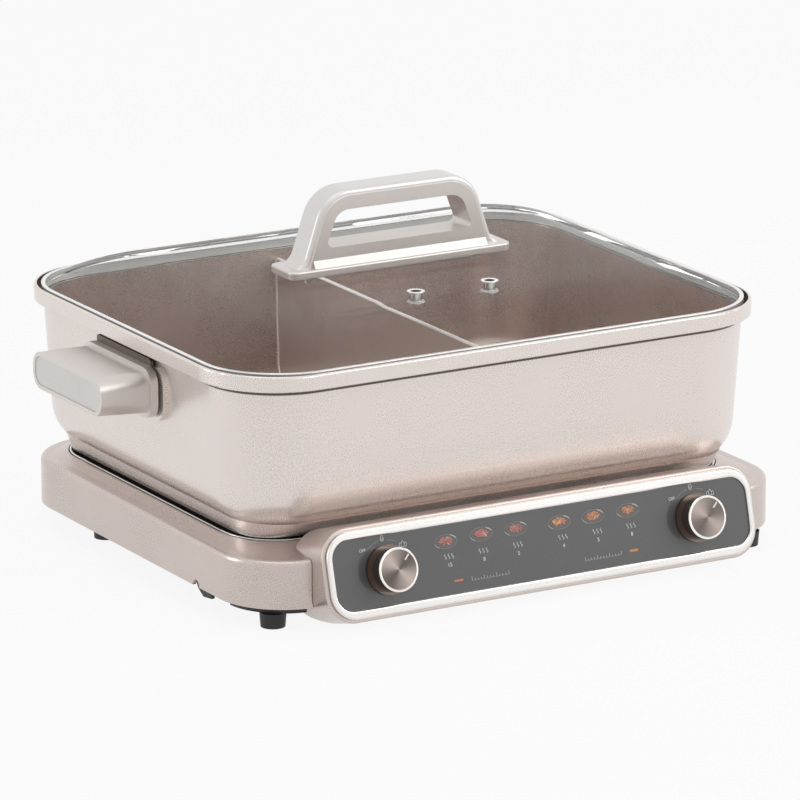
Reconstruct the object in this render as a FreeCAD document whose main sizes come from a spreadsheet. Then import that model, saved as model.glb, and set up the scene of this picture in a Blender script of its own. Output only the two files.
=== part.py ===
import FreeCAD, Part
import math
import os
import re
import Sketcher

# Electric hot pot: a two-compartment pot with a glass lid on a heated base.
# Every piece is drawn about the middle of the pot (x to the right, y to the back)
# with z = 0 on the table, and then moved so that the origin is the middle of the
# object's footprint. Millimetres and degrees.

SIZES = [
    # pot
    ("rim_length", 416.0), ("rim_width", 336.5), ("rim_corner", 57.8), ("rim_height", 10.7),
    ("rim_overhang", 6.4), ("rim_lip", 2.0), ("lid_recess", 7.3), ("seat_width", 10.5),
    ("rim_rounding", 1.2), ("wall_draft", 3.8), ("pot_height", 121.0), ("bowl_rounding", 30.0),
    ("cavity_rounding", 24.0), ("pot_floor", 4.0), ("divider_top", 3.0), ("divider_foot", 6.0),
    ("divider_drop", 13.6), ("divider_edge", 0.8), ("divider_flare", 5.0), ("divider_play", 0.2),
    # foot of the pot
    ("skirt_side", 20.5), ("skirt_end", 16.75), ("skirt_corner", 41.0), ("skirt_height", 11.0),
    ("taper_side", 3.5), ("taper_end", 11.0), ("skirt_foot_corner", 30.0),
    ("skirt_wall", 3.0), ("foot_drop", 5.5), ("foot_play", 3.5), ("foot_wall", 6.0),
    ("bottom_lift", 8.0), ("notch_length", 191.0), ("notch_rise", 2.2),
    # pot handles
    ("boss_length", 103.0), ("boss_height", 37.0), ("boss_proud", 1.6), ("boss_drop", 18.0),
    ("flange_length", 97.0), ("flange_height", 34.5), ("flange_corner", 11.0), ("flange_thick", 5.5),
    ("grip_length", 98.0), ("grip_height", 25.5), ("grip_corner", 11.0), ("grip_reach", 37.0),
    ("grip_root_height", 29.0), ("grip_root_length", 94.0), ("grip_drop", 20.0), ("flange_drop", 17.5),
    ("grip_wall", 4.4), ("cap_border", 3.0), ("cap_thick", 2.4), ("cap_play", 0.15),
    ("cap_sink", 0.6), ("bracket_thick", 2.0), ("bracket_length", 76.0), ("bracket_rise", 4.6),
    ("handle_screw_spacing", 60.0), ("screw", 4.0), ("screw_play", 0.1), ("screw_head", 7.0),
    ("screw_head_thick", 2.4), ("screw_grip", 4.0),
    # base
    ("base_side", 19.15), ("base_end", 25.15), ("base_corner", 47.7), ("base_offset", 14.3),
    ("skirt_clearance", 14.5), ("base_height", 32.4), ("base_rounding", 3.5), ("base_wall", 2.5),
    ("deck_rise", 2.2), ("deck_border", 9.0), ("well_side", 4.2), ("well_end", 3.5),
    ("well_corner", 40.5), ("well_gap", 0.8), ("well_wall", 1.2), ("well_proud", 0.6),
    ("well_ledge", 4.3), ("ledge_width", 15.0), ("well_depth", 16.0), ("seat_gap", 0.3),
    ("side_notch", 9.0), ("side_notch_inset", 80.95),
    ("pan_inset", 8.0), ("pan_thick", 2.0), ("pan_lip", 4.0), ("pan_drop", 1.0), ("pad_inset", 6.5),
    ("pad_drop", 4.5), ("pad_depth", 46.45), ("hook_thick", 2.5), ("hook_length", 22.0),
    ("hook_drop", 5.0),
    ("foot_top", 18.0), ("foot_bottom", 16.4), ("foot_side", 24.05), ("foot_front_inset", 20.45),
    ("foot_front_gap", 9.05),
    ("foot_back_inset", 84.85), ("fixing_side", 14.35), ("fixing_boss", 8.0), ("fixing_screw", 3.0),
    ("post_side", 8.2), ("post_end", 54.0), ("post_width", 8.0),
    # heating elements
    ("heater_tube", 6.5), ("heater_shift", 2.1), ("heater_side", 22.1), ("heater_end", 49.0),
    ("cutout_width", 16.0), ("cutout_height", 8.0), ("wire", 2.4), ("wire_bend", 2.0),
    ("wire_lift", 2.7),
    # control housing: a rounded block that leans back by panel_tilt
    ("panel_reach", 17.55), ("panel_z", 38.2), ("panel_tilt", 15.0), ("panel_length", 317.3),
    ("panel_height", 46.0), ("panel_corner", 12.0), ("panel_glass", 2.0), ("bezel_side", 4.2),
    ("bezel_rise", 5.8), ("bezel_proud", 1.6), ("bezel_corner", 18.0), ("housing_margin", 2.4),
    ("housing_setback", 1.5), ("housing_corner", 20.0), ("housing_wall", 3.0),
    ("housing_depth", 27.45), ("housing_lowest", 1.8), ("housing_rise", 9.0),
    ("housing_keel", 30.0), ("seam", 0.3),
    # knobs and switches
    ("knob_inset", 40.05), ("knob_width", 29.4), ("knob_ring", 33.0), ("knob_ring_height", 1.6),
    ("knob_height", 13.9), ("knob_gap", 0.6), ("knob_cap_width", 27.4),
    ("knob_cap_thick", 1.0), ("knob_pointer_length", 4.8), ("knob_pointer_width", 1.2),
    ("knob_pointer_reach", 12.5), ("knob_pointer_turn", 43.0), ("knob_hollow", 4.0),
    ("knob_wall", 2.0), ("knob_edge", 0.5), ("shaft", 6.0),
    ("shaft_length", 21.0), ("shaft_play", 0.05), ("bushing", 9.5), ("bushing_proud", 2.8),
    ("nut_width", 14.0), ("nut_thick", 2.2), ("panel_hole", 20.0), ("switch_width", 30.0),
    ("switch_depth", 20.0), ("lamp_x", 67.5), ("lamp_drop", 14.6), ("lamp_length", 7.0),
    ("lamp_height", 1.8), ("lamp_depth", 12.0),
    # lid
    ("lid_play", 1.6), ("band_wall", 1.0), ("band_lip", 3.0), ("band_sheet", 0.8),
    ("band_proud", 1.0), ("lid_corner", 58.0), ("glass_thick", 4.0), ("dome_run", 67.0),
    ("dome_rise", 19.3), ("seal_wall", 0.6),
    ("vent_spacing", 57.0), ("vent_shift", 3.5), ("vent_margin", 0.65), ("vent_hole", 8.6),
    ("vent_flange", 12.0), ("vent_bore", 7.0), ("vent_proud", 3.0), ("vent_sheet", 0.8),
    # lid handle
    ("plate_length", 172.0), ("plate_width", 33.0), ("plate_thick", 4.8), ("plate_corner", 6.0),
    ("gasket", 1.0), ("arch_foot", 148.0), ("arch_top", 114.0), ("arch_height", 51.0),
    ("arch_rounding", 26.0), ("arch_depth", 23.0), ("arch_cover", 3.4), ("cover_rounding", 3.0),
    ("arch_flare", 5.0), ("core_proud", 0.7),
    ("finger_foot", 115.0), ("finger_top", 96.0), ("finger_sill", 12.7), ("finger_height", 25.0),
    ("finger_rounding", 12.0), ("lid_screw_spacing", 128.0), ("lid_screw_grip", 10.0),
    # power inlet
    ("inlet_flange", 48.0), ("inlet_flange_height", 26.0), ("inlet_socket", 27.0),
    ("inlet_socket_height", 20.0), ("inlet_depth", 17.0), ("inlet_wall", 2.0),
    ("inlet_z", 30.6), ("inlet_pin", 4.0), ("inlet_pin_thick", 2.0), ("inlet_pin_spacing", 14.0),
]

# Lengths that follow from the sizes above: the base is made to the pot, and what it
# carries is placed from the base's own edges.
DERIVED = {
    "skirt_length": "rim_length - 2 * skirt_side",
    "skirt_width": "rim_width - 2 * skirt_end",
    "skirt_foot_length": "skirt_length - 2 * taper_side",
    "skirt_foot_width": "skirt_width - 2 * taper_end",
    "well_length": "skirt_foot_length + 2 * well_side",
    "well_width": "skirt_foot_width + 2 * well_end",
    "base_length": "well_length + 2 * base_side",
    "base_width": "well_width + 2 * base_end",
    "base_front": "base_width / 2 + base_offset",
    "base_back": "base_width / 2 - base_offset",
    "side_notch_y": "base_front - side_notch_inset",
    "pad_back": "base_front - pad_depth",
    "foot_x": "base_length / 2 - foot_side",
    "foot_front": "base_front - foot_front_inset",
    "foot_back": "base_back - foot_back_inset",
    "fixing_x": "base_length / 2 - fixing_side",
    "post_x": "well_length / 2 - post_side",
    "post_y": "well_width / 2 - post_end",
    "heater_x": "well_length / 4 - heater_shift",
    "heater_pitch": "(well_length / 2 - 2 * heater_side) / 4",
    "heater_length": "well_width - 2 * heater_end",
    "panel_y": "base_front + panel_reach",
    "housing_end": "panel_length / 2 + bezel_side + housing_margin",
    "foot_front_x": "housing_end + foot_front_gap + foot_top / 2",
    "knob_x": "panel_length / 2 - knob_inset",
    "housing_back": "base_front - housing_depth",
    "vent_y": ("rim_width / 2 - rim_lip - lid_play - band_lip - dome_run"
               " - vent_flange / 2 - vent_margin"),
}

document = FreeCAD.newDocument("hot_pot")
sheet = document.addObject("Spreadsheet::Sheet", "Sizes")
for row, (alias, number) in enumerate(SIZES, start=1):
    sheet.set("A%d" % row, alias)
    sheet.set("B%d" % row, repr(number))
    sheet.setAlias("B%d" % row, alias)
document.recompute()

ALIASES = set(alias for alias, number in SIZES)
NODES = {}


def formula(text):
    """The text with each derived length written out and each size pointed at its cell."""
    def cell(match):
        word = match.group(0)
        if word in DERIVED:
            return formula(DERIVED[word])
        return "Sizes." + word if word in ALIASES else word
    return re.sub(r"[A-Za-z_]+", cell, "(%s)" % text)


def value(text):
    return float(sheet.evalExpression(formula(str(text))))


def bind(thing, name, text):
    thing.setExpression(name, formula(str(text)))


# ---- sketches and features --------------------------------------------------------

def body(name):
    thing = document.addObject("PartDesign::Body", name)
    thing.Label = name
    return thing


def sketch_on(owner, plane, height="0"):
    """A sketch on one of the body's own origin planes, moved along its normal."""
    sketch = owner.newObject("Sketcher::SketchObject", owner.Name + "_sketch")
    origin_plane = [f for f in owner.Origin.OriginFeatures if f.Role == plane + "_Plane"][0]
    sketch.AttachmentSupport = [(origin_plane, "")]
    sketch.MapMode = "FlatFace"
    bind(sketch, ".AttachmentOffset.Base.z", height)
    return sketch


def measure(sketch, kind, parts, text):
    """A dimension of the sketch that follows the named sizes."""
    index = sketch.addConstraint(Sketcher.Constraint(kind, *parts, value(text)))
    bind(sketch, "Constraints[%d]" % index, text)


def locate(sketch, curve, point, x_text, y_text):
    for kind, axis, text in (("DistanceX", -2, x_text), ("DistanceY", -1, y_text)):
        if abs(value(text)) < 1e-9:
            sketch.addConstraint(Sketcher.Constraint("PointOnObject", curve, point, axis))
        else:
            measure(sketch, kind, (-1, 1, curve, point), text)


def rounded_rectangle(sketch, length, width, corner, x="0", y="0"):
    half_x, half_y, radius = value(length) / 2, value(width) / 2, value(corner)
    mid_x, mid_y = value(x), value(y)
    first = sketch.GeometryCount
    corners = ((1, -1, 270), (1, 1, 0), (-1, 1, 90), (-1, -1, 180))
    centres = [FreeCAD.Vector(mid_x + sx * (half_x - radius), mid_y + sy * (half_y - radius), 0)
               for sx, sy, start in corners]
    up = FreeCAD.Vector(0, 0, 1)
    for number, (sx, sy, start) in enumerate(corners):
        before = centres[number - 1]
        centre = centres[number]
        turn = math.radians(start)
        side = FreeCAD.Vector(math.cos(turn), math.sin(turn), 0) * radius
        sketch.addGeometry(Part.LineSegment(before + side, centre + side), False)
        circle = Part.Circle(centre, up, radius)
        sketch.addGeometry(Part.ArcOfCircle(circle, turn, turn + math.pi / 2), False)
    for number in range(4):
        line = first + 2 * number
        arc = line + 1
        following = first + (2 * number + 2) % 8
        sketch.addConstraint(Sketcher.Constraint("Tangent", line, 2, arc, 1))
        sketch.addConstraint(Sketcher.Constraint("Tangent", arc, 2, following, 1))
        direction = "Vertical" if number % 2 else "Horizontal"
        sketch.addConstraint(Sketcher.Constraint(direction, line))
        if number:
            sketch.addConstraint(Sketcher.Constraint("Equal", first + 1, arc))
    measure(sketch, "Radius", (first + 1,), corner)
    measure(sketch, "DistanceX", (first + 6, 1, first + 2, 1), length)
    measure(sketch, "DistanceY", (first, 1, first + 4, 1), width)
    locate_edge(sketch, "DistanceX", first + 2, "(%s) + (%s) / 2" % (x, length))
    locate_edge(sketch, "DistanceY", first + 4, "(%s) + (%s) / 2" % (y, width))


def locate_edge(sketch, kind, line, text):
    measure(sketch, kind, (-1, 1, line, 1), text)


def circle(sketch, width, x="0", y="0"):
    centre = FreeCAD.Vector(value(x), value(y), 0)
    up = FreeCAD.Vector(0, 0, 1)
    curve = sketch.addGeometry(Part.Circle(centre, up, value(width) / 2), False)
    measure(sketch, "Diameter", (curve,), width)
    locate(sketch, curve, 3, x, y)


def polygon(sketch, points):
    """A closed outline of straight lines; each point is a pair of formulas."""
    first = sketch.GeometryCount
    places = [FreeCAD.Vector(value(x), value(y), 0) for x, y in points]
    for number, start in enumerate(places):
        end = places[(number + 1) % len(places)]
        sketch.addGeometry(Part.LineSegment(start, end), False)
    for number, (x, y) in enumerate(points):
        following = first + (number + 1) % len(points)
        sketch.addConstraint(Sketcher.Constraint("Coincident", first + number, 2, following, 1))
        locate(sketch, first + number, 1, x, y)


def feature(owner, kind, sketch, name):
    thing = owner.newObject("PartDesign::" + kind, owner.Name + "_" + name)
    thing.Profile = sketch
    return thing


def pad(owner, sketch, length, reverse=False, middle=False):
    thing = feature(owner, "Pad", sketch, "pad")
    bind(thing, "Length", length)
    thing.Reversed = reverse
    thing.Midplane = middle
    return thing


def pocket(owner, sketch, length, reverse=False, middle=False):
    """A cut into the side the sketch faces away from (the other side when reverse is true)."""
    thing = feature(owner, "Pocket", sketch, "pocket")
    bind(thing, "Length", length)
    thing.Reversed = reverse
    thing.Midplane = middle
    return thing


def loft(owner, sketches, cut=False, ruled=False):
    kind = "SubtractiveLoft" if cut else "AdditiveLoft"
    thing = feature(owner, kind, sketches[0], "loft")
    thing.Sections = sketches[1:]
    thing.Ruled = ruled
    return thing


def box(owner, low, high, cut=False):
    """A block between two corners, added to the body or cut from it."""
    sketch = sketch_on(owner, "XY", low[2])
    polygon(sketch, [(low[0], low[1]), (high[0], low[1]), (high[0], high[1]), (low[0], high[1])])
    depth = "(%s) - (%s)" % (high[2], low[2])
    return pocket(owner, sketch, depth, reverse=True) if cut else pad(owner, sketch, depth)


def edges_where(base, test):
    document.recompute()
    return ["Edge%d" % (n + 1) for n, edge in enumerate(base.Shape.Edges) if test(edge)]


def at_height(text):
    """A test for the edges that lie flat at one height."""
    def test(edge):
        bounds = edge.BoundBox
        return abs(bounds.ZMin - value(text)) < 0.01 and abs(bounds.ZMax - value(text)) < 0.01
    return test


def dress(owner, kind, base, names, size):
    thing = owner.newObject("PartDesign::" + kind, owner.Name + "_" + kind.lower())
    thing.Base = (base, names)
    bind(thing, "Radius" if kind == "Fillet" else "Size", size)
    return thing


def fillet(owner, base, test, radius):
    return dress(owner, "Fillet", base, edges_where(base, test), radius)


def chamfer(owner, base, test, size):
    return dress(owner, "Chamfer", base, edges_where(base, test), size)


def draft(owner, base, neutral_height, reverse=False):
    """Lean the upright faces by wall_draft about the flat face at neutral_height."""
    document.recompute()
    walls, neutral = [], None
    for number, face in enumerate(base.Shape.Faces):
        bounds = face.BoundBox
        if bounds.ZLength > 1:
            walls.append("Face%d" % (number + 1))
        elif abs(bounds.ZMin - value(neutral_height)) < 0.01:
            neutral = "Face%d" % (number + 1)
    thing = owner.newObject("PartDesign::Draft", owner.Name + "_draft")
    thing.Base = (base, walls)
    thing.NeutralPlane = (base, [neutral])
    thing.Reversed = reverse
    bind(thing, "Angle", "wall_draft")
    return thing


def cut(name, base, tool):
    thing = document.addObject("Part::Cut", name)
    thing.Base = base
    thing.Tool = tool
    return thing


def common(name, first, second):
    thing = document.addObject("Part::Common", name)
    thing.Base = first
    thing.Tool = second
    return thing


def block(name, low, high):
    """A plain box between two corners."""
    thing = document.addObject("Part::Box", name)
    for axis, side, near, far in zip("xyz", ("Length", "Width", "Height"), low, high):
        bind(thing, side, "(%s) - (%s)" % (far, near))
        bind(thing, "Placement.Base." + axis, near)
    return thing


def keep(thing, name, y="0"):
    """Name a finished piece, whose label is the name of its file, and set its depth."""
    thing.Label = name
    bind(thing, "Placement.Base.y", "%s + %s" % (y, FOOTPRINT_SHIFT))
    NODES[name] = thing
    return thing


# ---- levels above the table ---------------------------------------------------------

DECK = "(skirt_clearance + base_height)"
WELL_TOP = "(%s + deck_rise + well_proud)" % DECK
LEDGE_TOP = "(%s - well_ledge - well_proud)" % WELL_TOP
POT_FOOT = "(%s + seat_gap)" % LEDGE_TOP
POT_BOTTOM = "(%s + bottom_lift)" % POT_FOOT
SKIRT_FOOT = "(%s + foot_drop)" % POT_FOOT
CREASE = "(%s + skirt_height)" % SKIRT_FOOT
RIM_TOP = "(%s + pot_height)" % POT_FOOT
RIM_FOOT = "(%s - rim_height)" % RIM_TOP
LID_SEAT = "(%s - lid_recess)" % RIM_TOP
LID_FOOT = "(%s + seat_gap)" % LID_SEAT
BAND_TOP = "(%s + band_proud)" % RIM_TOP
GLASS_EDGE = "(%s - band_sheet)" % BAND_TOP
GLASS_TOP = "(%s + dome_rise)" % GLASS_EDGE
PLATE_FOOT = "(%s + gasket)" % GLASS_TOP
PLATE_TOP = "(%s + plate_thick)" % PLATE_FOOT
ARCH_TOP = "(%s + arch_height)" % PLATE_TOP
PAN_FOOT = "(skirt_clearance - pan_drop)"
PAN_TOP = "(%s + pan_thick)" % PAN_FOOT
PAD_FOOT = "(skirt_clearance - pad_drop)"
SUMP_FOOT = "(%s - well_depth)" % LEDGE_TOP
KNOB_TOP = "(knob_gap + knob_height)"
FRONT_REACH = ("(panel_y + (knob_width / 2 - knob_edge) * sin(panel_tilt) + %s * cos(panel_tilt))"
               % KNOB_TOP)
FOOTPRINT_SHIFT = "((%s - rim_width / 2) / 2)" % FRONT_REACH


# ---- pot ------------------------------------------------------------------------------

def tapered_bowl(name, top, length, width, corner, bottom, rounding):
    """A block with leaning walls and a rounded bottom edge, open side up."""
    bowl = body(name)
    sketch = sketch_on(bowl, "XY", top)
    rounded_rectangle(sketch, length, width, corner)
    wall = pad(bowl, sketch, "%s - %s" % (top, bottom), reverse=True)
    leaning = draft(bowl, wall, top, reverse=True)
    fillet(bowl, leaning, at_height(bottom), rounding)
    return bowl


def pot_rim():
    rim = body("pot_rim")
    sketch = sketch_on(rim, "XY", RIM_FOOT)
    rounded_rectangle(sketch, "rim_length", "rim_width", "rim_corner")
    band = pad(rim, sketch, "rim_height")
    top = fillet(rim, band, at_height(RIM_TOP), "rim_rounding")
    fillet(rim, top, at_height(RIM_FOOT), "rim_rounding")
    recess = sketch_on(rim, "XY", RIM_TOP)
    rounded_rectangle(recess, "rim_length - 2 * rim_lip", "rim_width - 2 * rim_lip",
                      "rim_corner - rim_lip")
    pocket(rim, recess, "lid_recess")
    return rim


def pot_skirt():
    """The tapered apron under the bowl and the ring foot that stands in the well."""
    skirt = body("pot_skirt")
    low = sketch_on(skirt, "XY", SKIRT_FOOT)
    rounded_rectangle(low, "skirt_foot_length", "skirt_foot_width", "skirt_foot_corner")
    high = sketch_on(skirt, "XY", CREASE)
    rounded_rectangle(high, "skirt_length", "skirt_width", "skirt_corner")
    loft(skirt, [low, high], ruled=True)
    hollow = sketch_on(skirt, "XY", SKIRT_FOOT)
    rounded_rectangle(hollow, "skirt_foot_length - 2 * skirt_wall",
                      "skirt_foot_width - 2 * skirt_wall", "skirt_foot_corner - skirt_wall")
    pocket(skirt, hollow, "bottom_lift - foot_drop", reverse=True)
    foot = sketch_on(skirt, "XY", POT_FOOT)
    for inset in ("well_wall + foot_play", "well_wall + foot_play + foot_wall"):
        rounded_rectangle(foot, "well_length - 2 * (%s)" % inset, "well_width - 2 * (%s)" % inset,
                          "well_corner - (%s)" % inset)
    pad(skirt, foot, "bottom_lift + pot_floor / 2")
    for side in ("-1", "1"):
        middle = "%s * skirt_foot_length / 2" % side
        box(skirt, ("%s - 2 * skirt_wall" % middle, "-notch_length / 2", SKIRT_FOOT),
            ("%s + 2 * skirt_wall" % middle, "notch_length / 2",
             "%s + notch_rise" % SKIRT_FOOT), cut=True)
    return skirt


def pot_divider():
    """The wall set in between the two halves, with a flared foot and a chamfered top edge."""
    wall = body("divider_wall")
    floor = "(%s + pot_floor)" % POT_BOTTOM
    top = "(%s - divider_drop)" % RIM_TOP
    half = [("divider_foot / 2 + divider_flare", POT_BOTTOM),
            ("divider_foot / 2 + divider_flare", floor),
            ("divider_foot / 2 + divider_flare / 3", "%s + divider_flare / 3" % floor),
            ("divider_foot / 2", "%s + divider_flare" % floor),
            ("divider_top / 2", "%s - divider_edge" % top),
            ("divider_top / 2 - divider_edge", top)]
    mirrored = [("-(%s)" % x, z) for x, z in reversed(half)]
    sketch = sketch_on(wall, "XZ")
    polygon(sketch, half + mirrored)
    pad(wall, sketch, "rim_width", middle=True)
    return keep(common("divider", wall, pot_cavity("divider_room", "divider_play")), "pot_divider")


WALL_X = "(rim_length / 2 - rim_overhang)"
BOSS_X = "(%s + boss_proud)" % WALL_X
FLANGE_X = "(%s + bracket_thick)" % BOSS_X
GRIP_X = "(%s + flange_thick)" % FLANGE_X
GRIP_END = "(%s + grip_reach)" % GRIP_X
SCREW_Z = "(%s - flange_drop - flange_height / 2)" % RIM_TOP
BOSS_Z = "(%s - boss_drop - boss_height / 2)" % RIM_TOP


def reach(side, text):
    """The x of a face on the left (-1) or right (1) of the pot."""
    return "%d * %s" % (side, text)


def slab(owner, side, x, thick, length, height, corner, z):
    """A rounded plate standing across x, thick towards the outside."""
    sketch = sketch_on(owner, "YZ", reach(side, x))
    rounded_rectangle(sketch, length, height, corner, "0", z)
    return pad(owner, sketch, thick, reverse=side < 0)


def handle_holes(owner, side, x, depth, width):
    sketch = sketch_on(owner, "YZ", reach(side, x))
    for end in ("-0.5", "0.5"):
        circle(sketch, width, "%s * handle_screw_spacing" % end, SCREW_Z)
    return pocket(owner, sketch, depth, reverse=side > 0)


def pot_cavity(name, play):
    """The room inside the pot, made smaller all round by play."""
    return tapered_bowl(name, LID_SEAT, "rim_length - 2 * (seat_width + %s)" % play,
                        "rim_width - 2 * (seat_width + %s)" % play,
                        "rim_corner - seat_width * 3 / 4 - %s" % play,
                        "(%s + pot_floor + %s)" % (POT_BOTTOM, play), "cavity_rounding")


def pot_body():
    outer = document.addObject("Part::MultiFuse", "pot_outer")
    shapes = [tapered_bowl("pot_wall", RIM_FOOT, "2 * %s" % WALL_X, "rim_width - 2 * rim_overhang",
                           "rim_corner - rim_overhang", POT_BOTTOM, "bowl_rounding"),
              pot_rim(), pot_skirt()]
    for side in (-1, 1):
        boss = body("pot_boss")
        slab(boss, side, "(%s - boss_height * tan(wall_draft) - boss_proud)" % WALL_X,
             "boss_height * tan(wall_draft) + 2 * boss_proud",
             "boss_length", "boss_height", "flange_corner + boss_proud", BOSS_Z)
        shapes.append(boss)
    outer.Shapes = shapes
    hollow = cut("pot_hollow", outer, pot_cavity("pot_cavity", "0"))
    tapped = document.addObject("Part::MultiFuse", "pot_tappings")
    tapped.Shapes = [screw_shank("pot_tapping", side, end, "screw + 2 * screw_play",
                                 BOSS_X, "-screw_grip")
                     for side in (-1, 1) for end in (-1, 1)]
    return keep(cut("pot", hollow, tapped), "pot_body")


def screw_shank(name, side, end, width, start, length):
    """A round bar along x at one of the two screws of one pot handle."""
    bar = document.addObject("Part::Cylinder", name)
    bind(bar, "Radius", "(%s) / 2" % width)
    bind(bar, "Height", "abs(%s)" % length)
    bar.Placement.Rotation = FreeCAD.Rotation(FreeCAD.Vector(0, 1, 0), 90)
    low = "min(%d * (%s); %d * (%s + (%s)))" % (side, start, side, start, length)
    bind(bar, "Placement.Base.x", low)
    bind(bar, "Placement.Base.y", "%d * handle_screw_spacing / 2" % end)
    bind(bar, "Placement.Base.z", SCREW_Z)
    return bar


def pot_handle(side, name):
    handle = body(name)
    slab(handle, side, FLANGE_X, "flange_thick", "flange_length", "flange_height",
         "flange_corner", SCREW_Z)
    grip_top = "(%s - grip_drop)" % RIM_TOP
    for border, is_cut in (("0", False), ("grip_wall", True)):
        sections = []
        for x, length, height, corner in (
                (GRIP_X, "grip_root_length", "grip_root_height", "grip_corner"),
                (GRIP_END, "grip_length", "grip_height", "grip_corner")):
            sketch = sketch_on(handle, "YZ", reach(side, x))
            rounded_rectangle(sketch, "%s - 2 * %s" % (length, border),
                              "%s - 2 * %s" % (height, border), "%s - %s" % (corner, border),
                              "0", "%s - %s / 2" % (grip_top, height))
            sections.append(sketch)
        grip = loft(handle, sections, cut=is_cut, ruled=True)
    seat = sketch_on(handle, "YZ", reach(side, GRIP_END))
    rounded_rectangle(seat, "grip_length - 2 * cap_border + 2 * cap_play",
                      "grip_height - 2 * cap_border + 2 * cap_play",
                      "grip_corner - cap_border + cap_play",
                      "0", "%s - grip_height / 2" % grip_top)
    pocket(handle, seat, "cap_thick + cap_sink", reverse=side < 0)
    handle_holes(handle, side, FLANGE_X, "flange_thick", "screw + 2 * screw_play")
    return keep(handle, name)


def handle_cap(side, name):
    cap = body(name)
    slab(cap, side, "(%s - cap_sink - cap_thick)" % GRIP_END, "cap_thick",
         "grip_length - 2 * cap_border", "grip_height - 2 * cap_border",
         "grip_corner - cap_border", "%s - grip_drop - grip_height / 2" % RIM_TOP)
    return keep(cap, name)


def handle_bracket(side, name):
    """The steel plate between pot and handle; its top edge stands above the flange."""
    bracket = body(name)
    low = "(%s - boss_drop - boss_height + 3 * boss_proud)" % RIM_TOP
    high = "(%s - flange_drop + bracket_rise)" % RIM_TOP
    slab(bracket, side, BOSS_X, "bracket_thick", "bracket_length", "%s - %s" % (high, low),
         "bracket_thick", "(%s + %s) / 2" % (high, low))
    handle_holes(bracket, side, BOSS_X, "bracket_thick", "screw + 2 * screw_play")
    return keep(bracket, name)


def handle_screws(side, name):
    group = document.addObject("Part::Compound", name)
    links = []
    for end in (-1, 1):
        shank = screw_shank("shank", side, end, "screw",
                            "(%s - screw_grip)" % BOSS_X,
                            "screw_grip + bracket_thick + flange_thick")
        head = screw_shank("head", side, end, "screw_head", GRIP_X, "screw_head_thick")
        screw = document.addObject("Part::Fuse", "handle_screw")
        screw.Base = shank
        screw.Tool = head
        links.append(screw)
    group.Links = links
    return keep(group, name)


pot_body()
pot_divider()
for side, word in ((-1, "left"), (1, "right")):
    pot_handle(side, "pot_handle_" + word)
    handle_cap(side, "handle_cap_" + word)
    handle_bracket(side, "handle_bracket_" + word)
    handle_screws(side, "handle_screws_" + word)


# ---- lid ------------------------------------------------------------------------------

BAND_LENGTH = "(rim_length - 2 * rim_lip - 2 * lid_play)"
BAND_WIDTH = "(rim_width - 2 * rim_lip - 2 * lid_play)"


def lid_outline(sketch, inset, corner_inset=None):
    """The lid's rounded outline, drawn in by inset."""
    rounded_rectangle(sketch, "%s - 2 * (%s)" % (BAND_LENGTH, inset),
                      "%s - 2 * (%s)" % (BAND_WIDTH, inset),
                      "lid_corner - (%s)" % (corner_inset or inset))


def lid_band():
    """A steel channel around the edge of the glass."""
    band = body("lid_band")
    ring = sketch_on(band, "XY", LID_FOOT)
    lid_outline(ring, "0")
    lid_outline(ring, "band_lip")
    whole = pad(band, ring, "%s - %s" % (BAND_TOP, LID_FOOT))
    fillet(band, whole, at_height(BAND_TOP), "band_sheet / 2")
    groove = sketch_on(band, "XY", "%s + band_sheet" % LID_FOOT)
    lid_outline(groove, "band_wall")
    lid_outline(groove, "band_lip + band_wall")
    pocket(band, groove, "%s - %s - band_sheet" % (GLASS_EDGE, LID_FOOT), reverse=True)
    return keep(band, "lid_band")


def lid_seal():
    """Silicone between the glass edge and the steel channel."""
    seal = body("lid_seal")
    ring = sketch_on(seal, "XY", "%s + band_sheet" % LID_FOOT)
    lid_outline(ring, "band_wall")
    lid_outline(ring, "band_lip")
    pad(seal, ring, "%s - %s - band_sheet" % (GLASS_EDGE, LID_FOOT))
    room = sketch_on(seal, "XY", "%s - glass_thick" % GLASS_EDGE)
    lid_outline(room, "band_wall + seal_wall")
    pocket(seal, room, "glass_thick", reverse=True)
    return keep(seal, "lid_seal")


DOME_STEPS = 5
DOME_RADIUS = "((dome_run ^ 2 + dome_rise ^ 2) / (2 * dome_rise))"


def dome(owner, base, is_cut):
    """Rounded outlines that rise along an arc from the band to the flat middle."""
    sections = []
    for step in range(DOME_STEPS + 1):
        inset = "(dome_run * %d / %d)" % (step, DOME_STEPS)
        drop = "(%s - sqrt(%s ^ 2 - (dome_run - %s) ^ 2))" % (DOME_RADIUS, DOME_RADIUS, inset)
        sketch = sketch_on(owner, "XY", "%s + dome_rise - %s" % (base, drop))
        lid_outline(sketch, "band_lip + %s" % inset, "band_lip + %s * 2 / 5" % inset)
        sections.append(sketch)
    return loft(owner, sections, cut=is_cut)


def lid_glass():
    glass = body("lid_glass")
    edge = sketch_on(glass, "XY", "%s - glass_thick" % GLASS_EDGE)
    lid_outline(edge, "band_wall + seal_wall")
    pad(glass, edge, "glass_thick")
    dome(glass, GLASS_EDGE, False)
    dome(glass, "%s - glass_thick" % GLASS_EDGE, True)
    holes = sketch_on(glass, "XY", GLASS_TOP)
    for side in (-1, 1):
        circle(holes, "vent_hole", vent_x(side), "-vent_y")
    for end in ("-0.5", "0.5"):
        circle(holes, "screw + 4 * screw_play", "%s * lid_screw_spacing" % end, "0")
    pocket(glass, holes, "2 * glass_thick")
    return keep(glass, "lid_glass")


def turned(owner, z, height, outer, inner=None, x="0", y="0"):
    """An upright bar, or a ring when it has a bore."""
    sketch = sketch_on(owner, "XY", z)
    circle(sketch, outer, x, y)
    if inner:
        circle(sketch, inner, x, y)
    return pad(owner, sketch, height)


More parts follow.
